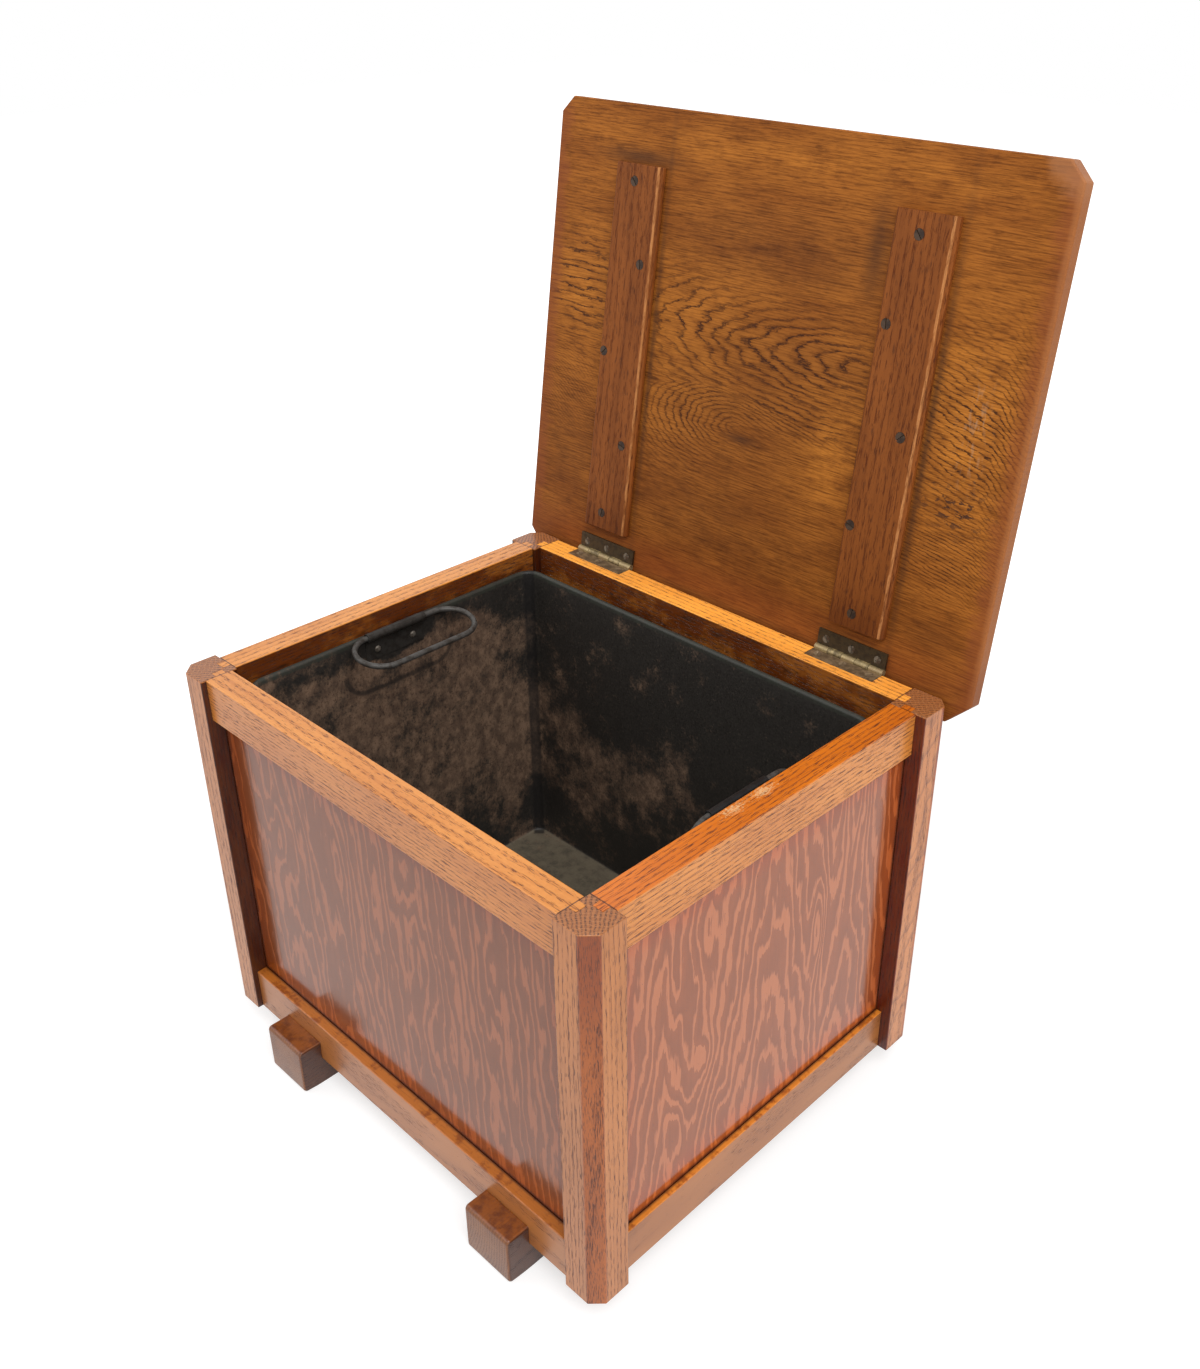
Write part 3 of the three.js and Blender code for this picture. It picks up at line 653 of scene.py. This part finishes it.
def rail_marks(side, level):
    """Dark joint lines at the posts, stain on the side towards the liner, a painted sheen on the top
    rails' tops, and painted light and shade on the ledges.
    """
    axis, outward = SIDES[side]
    start, end = SPANS[axis]
    near, far = (corner["YX".index(axis)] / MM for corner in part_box(f"{level}_rail_{side}"))

    def marks(g, x, y, z):
        w, across = (x, y) if axis == "X" else (y, x)
        inward = far - across if outward > 0 else across - near
        gap = ((w - (start + end) / 2).size() - ((end - start) / 2 - POST_SIDE)).size()
        mottle = g.noise(x / 3, y / 3, z / 3, detail=4, rough=0.7)
        joint = (gap + (mottle - 0.5) * 0.6).rise(0.75, 0.25)
        g.paint(joint * 0.85, BLACK_DIRT)
        if level == "bottom":
            blots = g.noise(x / 9, y / 9, z / 7, detail=4, rough=0.6)
            top = z.rise(BOTTOM_RAIL_TOP - 0.9, BOTTOM_RAIL_TOP - 0.3)
            # Painted light on the ledge's top by side, and painted shade at its back, against the panel
            reach, ledge_painted_tone = LEDGES[side]
            stain_and_painted_light = inward.rise(reach - 2.6, reach - 0.2) * top
            g.paint(top * 0.65, ledge_painted_tone)
            g.paint(stain_and_painted_light * 0.85, rgb(0.06, 0.012, 0.004))
            g.stain_and_painted_light(blots.rise(0.5, 0.66) * top * 0.8, rgb(0.45, 0.3, 0.22))
        else:
            inner = inward.rise(22, 22.4) * z.rise(CARCASE_TOP - 0.5, CARCASE_TOP - 1.2)
            streaks = g.noise(w / 16, across, z / 3.2, detail=5, rough=0.7)
            smears = g.noise(w / 45, 2.0, z / 30, detail=4, rough=0.6)
            smeared = inner * smears.rise(0.36, 0.56, 0.55)
            g.stain_and_painted_light(smeared, rgb(0.24, 0.155, 0.12))
            g.paint(inner * streaks.rise(0.5, 0.68) * 0.8, rgb(0.035, 0.014, 0.006))
            top = z.rise(CARCASE_TOP - 0.8, CARCASE_TOP - 0.2)
            # Painted sheen and highlight on the rails' tops
            share, tint = TOP_PAINTED_SHEEN[side]
            sheen = g.noise(x / 3, y / 3, z / 3, detail=3)
            painted_top_sheen = g.mix(sheen, rgb(1.36, 1.58, 2.1), rgb(1.13, 1.14, 1.08))
            g.stain_and_painted_light(top * (1 - share), painted_top_sheen)
            g.stain_and_painted_light(top * share, tint)
            if side == "right":
                paint = zones(x, y, RAIL_SCUFFS)
                flecks = g.noise(x / 0.9, y / 2.4, z / 0.9, detail=4, rough=0.75)
                flakes = (flecks + paint * 0.24).rise(0.63, 0.74) * paint.rise(0.02, 0.2)
                g.paint(flakes * top * 0.75, rgb(0.84, 0.54, 0.27))
    return marks


def runner_marks(east):
    """Mottled orange-brown top, and a darker side away from the light."""
    def marks(g, x, y, z):
        blots = g.noise(x / 8, y / 8, z / 8, detail=4, rough=0.6)
        top = z.rise(RUNNER_TOP - 1, RUNNER_TOP - 0.4)
        g.paint(top * 0.7, rgb(0.25, 0.06, 0.002))
        g.stain_and_painted_light(top * blots.rise(0.4, 0.66), rgb(0.52, 0.42, 0.36))
        g.stain_and_painted_light(x.rise(east - 0.8, east - 0.2), rgb(0.36, 0.27, 0.22))
    return marks


# Mesh helpers

def to_mesh(name, bm, material):
    data = bpy.data.meshes.new(name)
    bm.to_mesh(data)
    bm.free()
    data.materials.append(material)
    return data


def place_mesh(data, node, body, matrix=None):
    """Puts a mesh in the place of a CAD node, which it replaces."""
    piece = new_object(f"{node}_finished", data)
    if matrix is not None:
        piece.matrix_world = matrix
    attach(piece, body)
    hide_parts(node)
    return piece


def welded(node, matrix=None):
    """The CAD node's solid with shared corners and its flat faces made whole."""
    bm = bmesh.new()
    bm.from_mesh(frame["nodes"][node].data)
    bmesh.ops.remove_doubles(bm, verts=bm.verts, dist=1e-6)
    bmesh.ops.dissolve_limit(bm, angle_limit=math.radians(0.3), verts=bm.verts, edges=bm.edges)
    if matrix is not None:
        bm.transform(matrix.inverted())
    return bm


def extent(places):
    """Lowest and highest corners of the box round the places."""
    return [Vector(pick(p[i] for p in places) for i in range(3)) for pick in (min, max)]


def soften(piece, rule, crease):
    """Rounds the edges that the rule gives a radius, in millimetres, and keeps the others crisp.

    Edges that bend less than the crease, in degrees, are smooth.
    """
    crease = math.radians(crease)
    data = piece.data
    bm = bmesh.new()
    bm.from_mesh(data)
    low, high = extent([v.co for v in bm.verts])
    radii = []
    for edge in bm.edges:
        angle = edge.calc_face_angle_signed(0.0)
        radii.append(rule(edge, low, high) if angle > crease else 0.0)
        edge.smooth = abs(angle) < crease
    for face in bm.faces:
        face.smooth = True
    bm.to_mesh(data)
    bm.free()
    widest = max(radii)
    weights = data.attributes.new("bevel_weight_edge", "FLOAT", "EDGE")
    weights.data.foreach_set("value", [r / widest for r in radii])
    bevel = piece.modifiers.new("soft_edges", "BEVEL")
    bevel.limit_method = "WEIGHT"
    bevel.width = widest * MM
    bevel.segments = BEVEL_SEGMENTS
    bevel.harden_normals = True


def edge_gaps(edge, low, high, axes):
    """How far the middle of an edge lies inside the piece's box, along each of the axes."""
    middle = (edge.verts[0].co + edge.verts[1].co) / 2
    return [min(middle[i] - low[i], high[i] - middle[i]) for i in map("XYZ".index, axes)]


def bar_rule(axis, outer, inner, ends, reach):
    """Radii for a bar: outer along its corners, inner along its grooves, ends across it."""
    cross = "XYZ".replace(axis, "")

    def rule(edge, low, high):
        run = edge.verts[1].co - edge.verts[0].co
        if abs(run["XYZ".index(axis)]) < 0.9 * run.length:
            return ends
        return outer if max(edge_gaps(edge, low, high, cross)) < reach * MM else inner

    return rule


def even_rule(radius):
    return lambda edge, low, high: radius


def dress(node, body, material, rule, matrix=None, crease=20.0):
    """Replaces a CAD node by the same solid with worn edges."""
    data = to_mesh(f"{node}_finished", welded(node, matrix), material)
    soften(place_mesh(data, node, body, matrix), rule, crease)


# Carcase

# How each wood differs from the usual oak
POST_WOOD = {"light": rgb(0.5, 0.172, 0.038), "deep": rgb(0.34, 0.105, 0.018), "pore_length": 9.0}
# The top rails' colours by side are painted light: lighter on the right rail, darker on the front one. The
# right rail's pores are its own.
TOP_RAIL_WOOD_AND_LIGHT = {
    "front": {"light": rgb(0.62, 0.218, 0.035), "deep": rgb(0.42, 0.12, 0.015)},
    "right": {"light": rgb(0.76, 0.275, 0.045), "deep": rgb(0.53, 0.155, 0.02), "pores": 0.635,
              "pore_length": 11.0},
    "back": {},
    "left": {},
}
BOTTOM_RAIL_WOOD = {"light": rgb(0.44, 0.155, 0.035), "deep": rgb(0.32, 0.1, 0.019), "pores": 0.72}
BOARD_WOOD = {"light": rgb(0.5, 0.33, 0.17), "deep": rgb(0.36, 0.22, 0.11), "pores": 0.8, "ring": 5.0,
              "coat": 0.0, "roughness": 0.6}
RUNNER_WOOD = {"light": rgb(0.24, 0.082, 0.018), "deep": rgb(0.13, 0.036, 0.008), "coat": 0.2}
BATTEN_WOOD = {"light": rgb(0.27, 0.078, 0.014), "deep": rgb(0.14, 0.036, 0.006), "roughness": 0.5,
               "coat": 0.0, "specular": 0.15, "rings": 0.15, "ring": 5.5}

# Panels as figure, pale wood and brown wood
SHADED_FIR = (rgb(0.32, 0.093, 0.03), rgb(0.225, 0.06, 0.016))
PANELS = {
    "front": (WIDE_FIGURE, *SHADED_FIR),
    "right": (NARROW_FIGURE, rgb(0.49, 0.15, 0.052), rgb(0.35, 0.09, 0.024)),
    "back": (WIDE_FIGURE, *SHADED_FIR),
    "left": (NARROW_FIGURE, rgb(0.44, 0.135, 0.05), rgb(0.31, 0.082, 0.022)),
}
PANEL_SHIFT = 7.0


def dress_carcase():
    for i, corner in enumerate(CORNERS):
        material = oak(f"oak_post_{corner}", "Z", POST_SEED + i, post_marks(corner), **POST_WOOD)
        dress(f"post_{corner}", "carcase", material, bar_rule("Z", 0.7, 0.25, 0.7, 12.0))
    for i, (side, (axis, _)) in enumerate(SIDES.items()):
        for level, wood in (("top", TOP_RAIL_WOOD_AND_LIGHT[side]), ("bottom", BOTTOM_RAIL_WOOD)):
            node = f"{level}_rail_{side}"
            seed = RAIL_SEED + i * 2 + (level == "top")
            material = oak(f"oak_{node}", axis, seed, rail_marks(side, level), **wood)
            dress(node, "carcase", material, bar_rule(axis, 0.9, 0.3, 0.4, 3.0))
        dress(f"panel_{side}", "carcase", fir_panel(side, PANEL_SHIFT * i), even_rule(0.4))
    material = oak("softwood_board", "X", BOARD_SEED, **BOARD_WOOD)
    dress("bottom_board", "carcase", material, even_rule(0.5))
    for i, side in enumerate(("left", "right")):
        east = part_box(f"runner_{side}")[1].x / MM
        material = oak(f"oak_runner_{side}", "Y", RUNNER_SEED + i, runner_marks(east), **RUNNER_WOOD)
        dress(f"runner_{side}", "carcase", material, runner_rule)


def runner_rule(edge, low, high):
    """Rounded edges at the exposed ends, apart from those that run across the runner."""
    exposed = edge_gaps(edge, low, high, "Y")[0] < 15 * MM
    run = edge.verts[1].co - edge.verts[0].co
    return 2.2 if exposed and abs(run.x) < 1e-5 else 0.4


# Lid

def batten_marks(east, face):
    """Pale bevel on the right, worn and with a painted highlight, dirt in the pores and a darker foot."""
    def marks(g, x, y, z):
        wear_and_highlight = g.noise(x / 2, y / 14, z / 2, detail=3, rough=0.7)
        dirt = g.noise(x / 3, y / 12, z / 3, detail=4, rough=0.6)
        bevel = (x + (wear_and_highlight - 0.5) * 1.4).window(east - 3.5, east - 2.2, 0.5)
        bevel = bevel * z.rise(face + 2.4, face + 1.8)
        g.paint(dirt.rise(0.55, 0.72) * 0.6, BLACK_DIRT)
        foot = ((dirt - 0.5) * 40 - y).rise(62, 28) * 0.45
        g.stain_and_painted_light(foot, rgb(0.42, 0.34, 0.3))
        # The bevel's pale line is wear and a painted highlight
        g.paint(bevel * wear_and_highlight.rise(0.34, 0.64, 0.15, 0.9), rgb(0.55, 0.23, 0.075))
    return marks


def dress_lid():
    dress("lid_board", "lid", lid_oak(), lid_rule, LID_MATRIX)
    for i, side in enumerate(("left", "right")):
        node = f"batten_{side}"
        low, high = lid_box(node)
        marks = batten_marks(high.x / MM, low.z / MM)
        material = oak(f"oak_batten_{side}", "Y", BATTEN_SEED + i, marks, **BATTEN_WOOD)
        dress(node, "lid", material, batten_rule, LID_MATRIX)


def lid_rule(edge, low, high):
    """Rounder along the rim of both faces, and crisp at the screws' holes."""
    if min(edge_gaps(edge, low, high, "XY")) > 21 * MM:
        return 0.0
    return 1.6 if edge_gaps(edge, low, high, "Z")[0] < 1e-5 else 1.0


def batten_rule(edge, low, high):
    return 0.7 if min(edge_gaps(edge, low, high, "XY")) < 3.2 * MM else 0.0


# Liner, rings and clips

def smooth_skin(bm, sharp=35):
    """Turns the faces outwards and smooths every edge that bends less than sharp, in degrees."""
    bmesh.ops.recalc_face_normals(bm, faces=bm.faces)
    for face in bm.faces:
        face.smooth = True
    for edge in bm.edges:
        edge.smooth = edge.calc_face_angle(0.0) < math.radians(sharp)


def circle(count):
    return [2 * math.pi * k / count for k in range(count)]


def bridge(bm, rings, close=False):
    """Joins rings of vertices into a skin."""
    count = len(rings[0])
    pairs = list(zip(rings, rings[1:])) + ([(rings[-1], rings[0])] if close else [])
    for low, high in pairs:
        for i in range(count):
            j = (i + 1) % count
            bm.faces.new((low[i], low[j], high[j], high[i]))


def rounded_loop(low, high, inset):
    """Points round a rounded rectangle that lies inset from low and high, in millimetres."""
    x0, y0, x1, y1 = low[0] + inset, low[1] + inset, high[0] - inset, high[1] - inset
    r = max(LINER_CORNER - inset, 0.6)
    corners = [(x1 - r, y0 + r, -90), (x1 - r, y1 - r, 0), (x0 + r, y1 - r, 90), (x0 + r, y0 + r, 180)]

    def arc(corner, share):
        cx, cy, start = corner
        t = math.radians(start + 90 * share)
        return cx + r * math.cos(t), cy + r * math.sin(t)

    points = []
    for n, corner in enumerate(corners):
        points += [arc(corner, k / LINER_CORNER_STEPS) for k in range(LINER_CORNER_STEPS + 1)]
        (ax, ay), (bx, by) = points[-1], arc(corners[(n + 1) % 4], 0)
        runs = int((high - low)[(n + 1) % 2] / LINER_PITCH)
        points += [(ax + (bx - ax) * k / runs, ay + (by - ay) * k / runs) for k in range(1, runs)]
    return points


def liner_profile(rim, floor):
    """Inset and height of the tub's skin, from its foot round the wired rim to its floor."""
    bead, sheet, fillet = LINER_BEAD, LINER_SHEET, LINER_FOOT
    outside = bead * 2 - sheet
    inside = bead * 2
    quarter = [math.pi * k / 8 for k in range(1, 5)]
    points = [(outside + fillet, floor)]
    points += [(outside + fillet * (1 - math.sin(t)), floor + fillet * (1 - math.cos(t))) for t in quarter]
    wall_foot, wall_top = floor + fillet, rim - bead * 2 + 0.4
    points += [(outside, wall_foot + (wall_top - wall_foot) * k / 18) for k in range(1, 19)]
    turn = [math.radians(-55 - 305 * k / 20) for k in range(21)]
    points += [(bead + bead * math.cos(t), rim - bead + bead * math.sin(t)) for t in turn]
    wall_top, wall_foot = rim - bead, floor + sheet + fillet
    points += [(inside, wall_top + (wall_foot - wall_top) * k / 20) for k in range(1, 21)]
    points += [(inside + fillet * (1 - math.cos(t)), wall_foot - fillet * math.sin(t)) for t in quarter]
    return points


NEAR_BLACK = rgb(0.012, 0.01, 0.009)


def liner_sheet(low, high):
    """Blackened sheet: rusty walls, soot and painted shade in the corners, dust on the floor and a rubbed
    rim.
    """
    g = Graph("blackened_sheet")
    x, y, z = g.place()
    side, end, level = g.facing()
    cloud = g.noise(x / 34, y / 34, z / 34, detail=8, rough=0.72)
    tint = g.noise(x / 10, y / 10, z / 14, detail=5, rough=0.75)
    grit = g.noise(x / 1.9, y / 1.9, z / 2.3, detail=3, rough=0.7)
    top = z.rise(high.z - 30, high.z - 12)
    low_down = z.rise(low.z + 100, low.z + 20)
    border = (x - low.x).min(high.y - y).min(high.x - x).min(y - low.y)
    behind_y, behind_z = (y + 36) / 40, (z - 322) / 16
    behind_ring = behind_y * behind_y + behind_z * behind_z
    brown_side = side * (0.16 - top * 0.14 - low_down * 0.14 - behind_ring.rise(1.2, 0.6) * 0.2)
    low_left = z.rise(low.z + 210, low.z + 110) * x.rise(90, -40)
    brown_end = end * (low_left * (0.2 - low_down * 0.16) - 0.09)
    drift = g.noise(x / 60, y / 60, z / 60)
    field = cloud + brown_side + brown_end + (drift - 0.5) * (side * 0.35 + 0.2) + (grit - 0.5) * 0.22
    rust = (field - 0.52).rise(-0.05, 0.2)
    g.colour = g.mix(tint, rgb(0.05, 0.044, 0.038), rgb(0.018, 0.016, 0.014))
    rusty = g.mix(tint.rise(0.36, 0.62), rgb(0.34, 0.21, 0.132), rgb(0.15, 0.09, 0.058))
    g.paint(rust, rusty)
    g.stain_and_painted_light(grit.rise(0.48, 0.36) * 0.8, rgb(0.45, 0.42, 0.4))
    specks = grit.rise(0.6, 0.7) * cloud
    g.paint(specks * 0.5, rgb(0.24, 0.18, 0.13))
    # Soot and painted shade near the sides: on the walls and along the edges of the floor
    g.paint(border.rise(9, 3) * 0.5, NEAR_BLACK)
    dust = level.rise(0.5, 0.9) * z.rise(low.z + 12, low.z + 6)
    g.paint(dust * tint.rise(0.3, 0.62, 0.35), rgb(0.145, 0.118, 0.08))
    rim = z.rise(high.z - 5.5, high.z - 4)
    g.paint(rim * tint.rise(0.4, 0.6, 0.5), rgb(0.034, 0.036, 0.028))
    reach = ((y + 34).size() - 34).max(0)
    drop = z - (high.z - 30)
    rubbed_arc = (length(reach, drop) - 21 + (tint - 0.5) * 5).size().rise(3.4, 0.8)
    g.paint(rubbed_arc * drop.rise(3, -3) * x.rise(0, -100) * 0.7, NEAR_BLACK)
    seam = ((x - (low.x + 10)).size() + (y - (high.y - 10)).size()).rise(9, 5)
    g.paint(seam * 0.8, rgb(0.008, 0.007, 0.007))
    normal = g.bump(tint * 0.6 + grit * 0.4, 0.35)
    return g.finish(rust * 0.25 + grit * 0.15 + 0.42, normal, specular_ior_level=0.35)


def make_liner():
    low, high = (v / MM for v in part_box("liner_tub"))
    bm = bmesh.new()
    rings = []
    for inset, z in liner_profile(high.z, low.z):
        loop = rounded_loop(low, high, inset)
        rings.append([bm.verts.new(Vector((x, y, z)) * MM) for x, y in loop])
    bridge(bm, rings)
    bm.faces.new(list(reversed(rings[0])))
    bm.faces.new(rings[-1])
    smooth_skin(bm)
    data = to_mesh("liner_tub_finished", bm, liner_sheet(low, high))
    place_mesh(data, "liner_tub", "carcase")


def make_ring(side, material):
    """Stadium ring of round wire, from its upper run at the pin towards the middle of the box."""
    pin = Matrix.Translation(JOINT_PLACES[f"ring_{side}_fold"])
    turn = Matrix.Rotation(0 if side == "left" else math.pi, 4, "Z")
    seat = pin @ turn @ Matrix.Rotation(RING_LEAN[side], 4, "Y")
    half = RING_WIDTH / 2
    centre = []
    for end in (1, -1):
        for k in range(RING_BEND_STEPS + 1):
            t = math.pi * k / RING_BEND_STEPS
            place = (half + half * math.cos(t) * end, end * (RING_STRAIGHT / 2 + half * math.sin(t)), 0)
            centre.append(Vector(place))
        for k in range(1, RING_RUN_STEPS):
            share = 0.5 - k / RING_RUN_STEPS
            centre.append(Vector((half - half * end, end * RING_STRAIGHT * share, 0)))
    up = Vector((0, 0, 1))
    slide = Vector((0, RING_SLIP[side], 0))
    wander = random.Random(RING_SEED[side])
    bm = bmesh.new()
    rings = []
    for i, point in enumerate(centre):
        ahead = (centre[(i + 1) % len(centre)] - centre[i - 1]).normalized()
        out = ahead.cross(up)
        r = RING_WIRE * (1 - wander.uniform(0, 0.03))
        section = [point + slide + (out * math.cos(t) + up * math.sin(t)) * r
                   for t in circle(RING_SECTION)]
        rings.append([bm.verts.new(seat @ (p * MM)) for p in section])
    bridge(bm, rings, close=True)
    smooth_skin(bm, 60)
    data = to_mesh(f"handle_ring_{side}_finished", bm, material)
    place_mesh(data, f"handle_ring_{side}", f"ring_{side}")


# Metal finishes

def iron(name, metal, rust, metallic):
    """Old iron with patches of rust or grime and small dark pits."""
    g = Graph(name)
    x, y, z = g.place()
    grime = g.noise(x / 7, y / 7, z / 7, detail=5, rough=0.65)
    pits = g.noise(x / 1.2, y / 1.2, z / 1.2, detail=3, rough=0.7)
    g.colour = g.mix(grime.rise(0.42, 0.62), metal, rust)
    g.paint(pits.rise(0.6, 0.72) * 0.6, rgb(0.02, 0.016, 0.013))
    normal = g.bump(pits * 0.6 + grime * 0.4, 0.12)
    return g.finish(grime * 0.2 + 0.36, normal, metallic=metallic, specular_ior_level=0.25)


def leaf_brass(name, plate, dust, pin):
    """Old hinge leaf: a dull plate, brighter metal round the barrel and dust on it."""
    g = Graph(name)
    x, y, z = g.place()
    barrel = length(y - pin[0], z - pin[1]).rise(3.4, 2.9)
    grime = g.noise(x / 5, y / 5, z / 5, detail=4, rough=0.65)
    scratch = g.noise(x / 0.8, y / 6, z / 6, detail=3, rough=0.7)
    g.colour = g.mix(grime.rise(0.4, 0.66), plate, dust)
    g.paint(barrel * grime.rise(0.66, 0.36, 0.35), rgb(0.36, 0.27, 0.13))
    g.paint(scratch.rise(0.64, 0.74) * 0.5, rgb(0.03, 0.02, 0.012))
    normal = g.bump(scratch * 0.5 + grime * 0.5, 0.08)
    return g.finish(grime * 0.2 + 0.32, normal, metallic=0.45)


# Screws and rivets: a slotted head that points along +Z from its flush face, and a domed head

def half_circle(bm, radius, level, side):
    """Vertices round one half of a head, from slot edge to slot edge."""
    gap = math.asin(SLOT_WIDTH / 2 / radius)
    turns = [side * math.pi + gap + (math.pi - 2 * gap) * k / HEAD_STEPS for k in range(HEAD_STEPS + 1)]
    return [bm.verts.new(Vector((radius * math.cos(t), radius * math.sin(t), level)) * MM) for t in turns]


def screw_mesh(name, material, head, shank, cone, length, point):
    bm = bmesh.new()
    slot_floor = head - (head - shank) * SLOT_DEPTH / cone
    ring = []
    for side in (0, 1):
        top, low = half_circle(bm, head, 0, side), half_circle(bm, slot_floor, SLOT_DEPTH, side)
        bm.faces.new(top)
        bm.faces.new((top[0], top[-1], low[-1], low[0]))
        for k in range(HEAD_STEPS):
            bm.faces.new((top[k], low[k], low[k + 1], top[k + 1]))
        ring += low
    bm.faces.new((ring[0], ring[HEAD_STEPS], ring[HEAD_STEPS + 1], ring[-1]))
    for level, radius in ((cone, shank), (length - point, shank), (length - TIP_GAP, TIP_RADIUS)):
        after = []
        for v in ring:
            flat = Vector((v.co.x, v.co.y, 0)).normalized() * radius
            after.append(bm.verts.new(Vector((flat.x, flat.y, level)) * MM))
        bridge(bm, [ring, after])
        ring = after
    bm.faces.new(ring)
    smooth_skin(bm)
    return to_mesh(name, bm, material)


def rivet_mesh(name, material):
    """A rivet along +X from the far side of the sheet, with a domed head inside the liner."""
    sheet_side = RIVET_TAIL[-1][1]
    dome = [(RIVET_HEAD * math.cos(t), sheet_side + RIVET_DOME * math.sin(t))
            for t in (math.pi * k / 16 for k in range(1, 8))]
    bm = bmesh.new()
    rings = []
    for radius, reach in RIVET_TAIL + dome:
        rings.append([bm.verts.new(Vector((reach, radius * math.cos(t), radius * math.sin(t))) * MM)
                      for t in circle(RIVET_SECTION)])
    bridge(bm, rings)
    for ring, reach in ((rings[0], RIVET_FOOT), (rings[-1], sheet_side + RIVET_DOME)):
        tip = bm.verts.new((reach * MM, 0, 0))
        for near, far in zip(ring, ring[1:] + ring[:1]):
            bm.faces.new((near, far, tip))
    smooth_skin(bm)
    return to_mesh(name, bm, material)


def lid_box(node):
    """Lowest and highest corners of a node, in the frame of the lid."""
    inverse = LID_MATRIX.inverted()
    return extent([inverse @ v.co for v in frame["nodes"][node].data.vertices])


def dress_screws():
    """The lower leaves' screws point down into the back rail, and the others up into the lid."""
    steel = iron("screw_steel", rgb(0.2, 0.17, 0.13), rgb(0.07, 0.045, 0.028), 0.4)
    dark = iron("screw_dark", rgb(0.07, 0.042, 0.026), rgb(0.03, 0.017, 0.011), 0.1)
    dusty = iron("screw_dusty", rgb(0.24, 0.165, 0.095), rgb(0.14, 0.09, 0.052), 0.1)
    batten_screw = screw_mesh("batten_screw", dark, **BATTEN_SCREW)
    upper_screw = screw_mesh("leaf_screw", steel, **LEAF_SCREW)
    lower_screw = screw_mesh("lower_leaf_screw", dusty, **LEAF_SCREW)
    for node in [name for name in frame["nodes"] if "screw" in name]:
        turn = Matrix.Rotation(SCREW_TURNS[node[-1]], 4, "Z")
        if "lower" in node:
            low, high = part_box(node)
            seat = Matrix.Translation(((low.x + high.x) / 2, (low.y + high.y) / 2, high.z))
            matrix = seat @ Matrix.Rotation(math.pi, 4, "X") @ turn
            place_mesh(lower_screw, node, "carcase", matrix)
            continue
        low, high = lid_box(node)
        seat = Matrix.Translation(((low.x + high.x) / 2, (low.y + high.y) / 2, low.z))
        data = batten_screw if "batten" in node else upper_screw
        place_mesh(data, node, "lid", LID_MATRIX @ seat @ turn)


def dress_rivets():
    shiny = iron("rivet_iron", rgb(0.22, 0.2, 0.17), rgb(0.08, 0.06, 0.045), 0.5)
    rivet = rivet_mesh("clip_rivet", shiny)
    for node in [name for name in frame["nodes"] if "rivet" in name]:
        low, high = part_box(node)
        middle = (low + high) / 2
        left = "left" in node
        foot = low.x + RIVET_SEAT * MM if left else high.x - RIVET_SEAT * MM
        turn = Matrix.Rotation(0 if left else math.pi, 4, "Z")
        seat = Matrix.Translation((foot, middle.y, middle.z))
        place_mesh(rivet, node, "carcase", seat @ turn)


def dress_metal():
    make_liner()
    ring = iron("ring_iron", rgb(0.085, 0.08, 0.074), rgb(0.045, 0.038, 0.032), 0.2)
    # The right clip's darker copy of the iron is painted shade
    clips = {"left": iron("clip_iron", rgb(0.04, 0.036, 0.032), rgb(0.024, 0.02, 0.017), 0.2),
             "right": iron("clip_iron_painted_shade", rgb(0.015, 0.014, 0.014), rgb(0.009, 0.008, 0.008), 0.1)}
    pin = (LID_PIN.y / MM, LID_PIN.z / MM)
    lower = leaf_brass("lower_leaf_brass", rgb(0.15, 0.095, 0.05), rgb(0.3, 0.2, 0.11), pin)
    # The upper leaves' dark plate is old brass and a painted dark reflection
    upper = leaf_brass("upper_leaf_brass_dark_reflection", rgb(0.06, 0.04, 0.018), rgb(0.032, 0.02, 0.009), (0.0, 0.0))
    fine = even_rule(0.2)
    for side in ("left", "right"):
        make_ring(side, ring)
        dress(f"handle_clip_{side}", "carcase", clips[side], fine, crease=30)
        dress(f"hinge_lower_leaf_{side}", "carcase", lower, fine, crease=30)
        dress(f"hinge_pin_{side}", "carcase", lower, fine, crease=40)
        dress(f"hinge_upper_leaf_{side}", "lid", upper, fine, LID_MATRIX, crease=30)
    dress_screws()
    dress_rivets()


make_camera()
make_world()
make_floor()
for lamp, settings in LAMPS.items():
    make_light(lamp, **settings)
bpy.context.scene.view_settings.view_transform = "Standard"
dress_carcase()
dress_lid()
dress_metal()
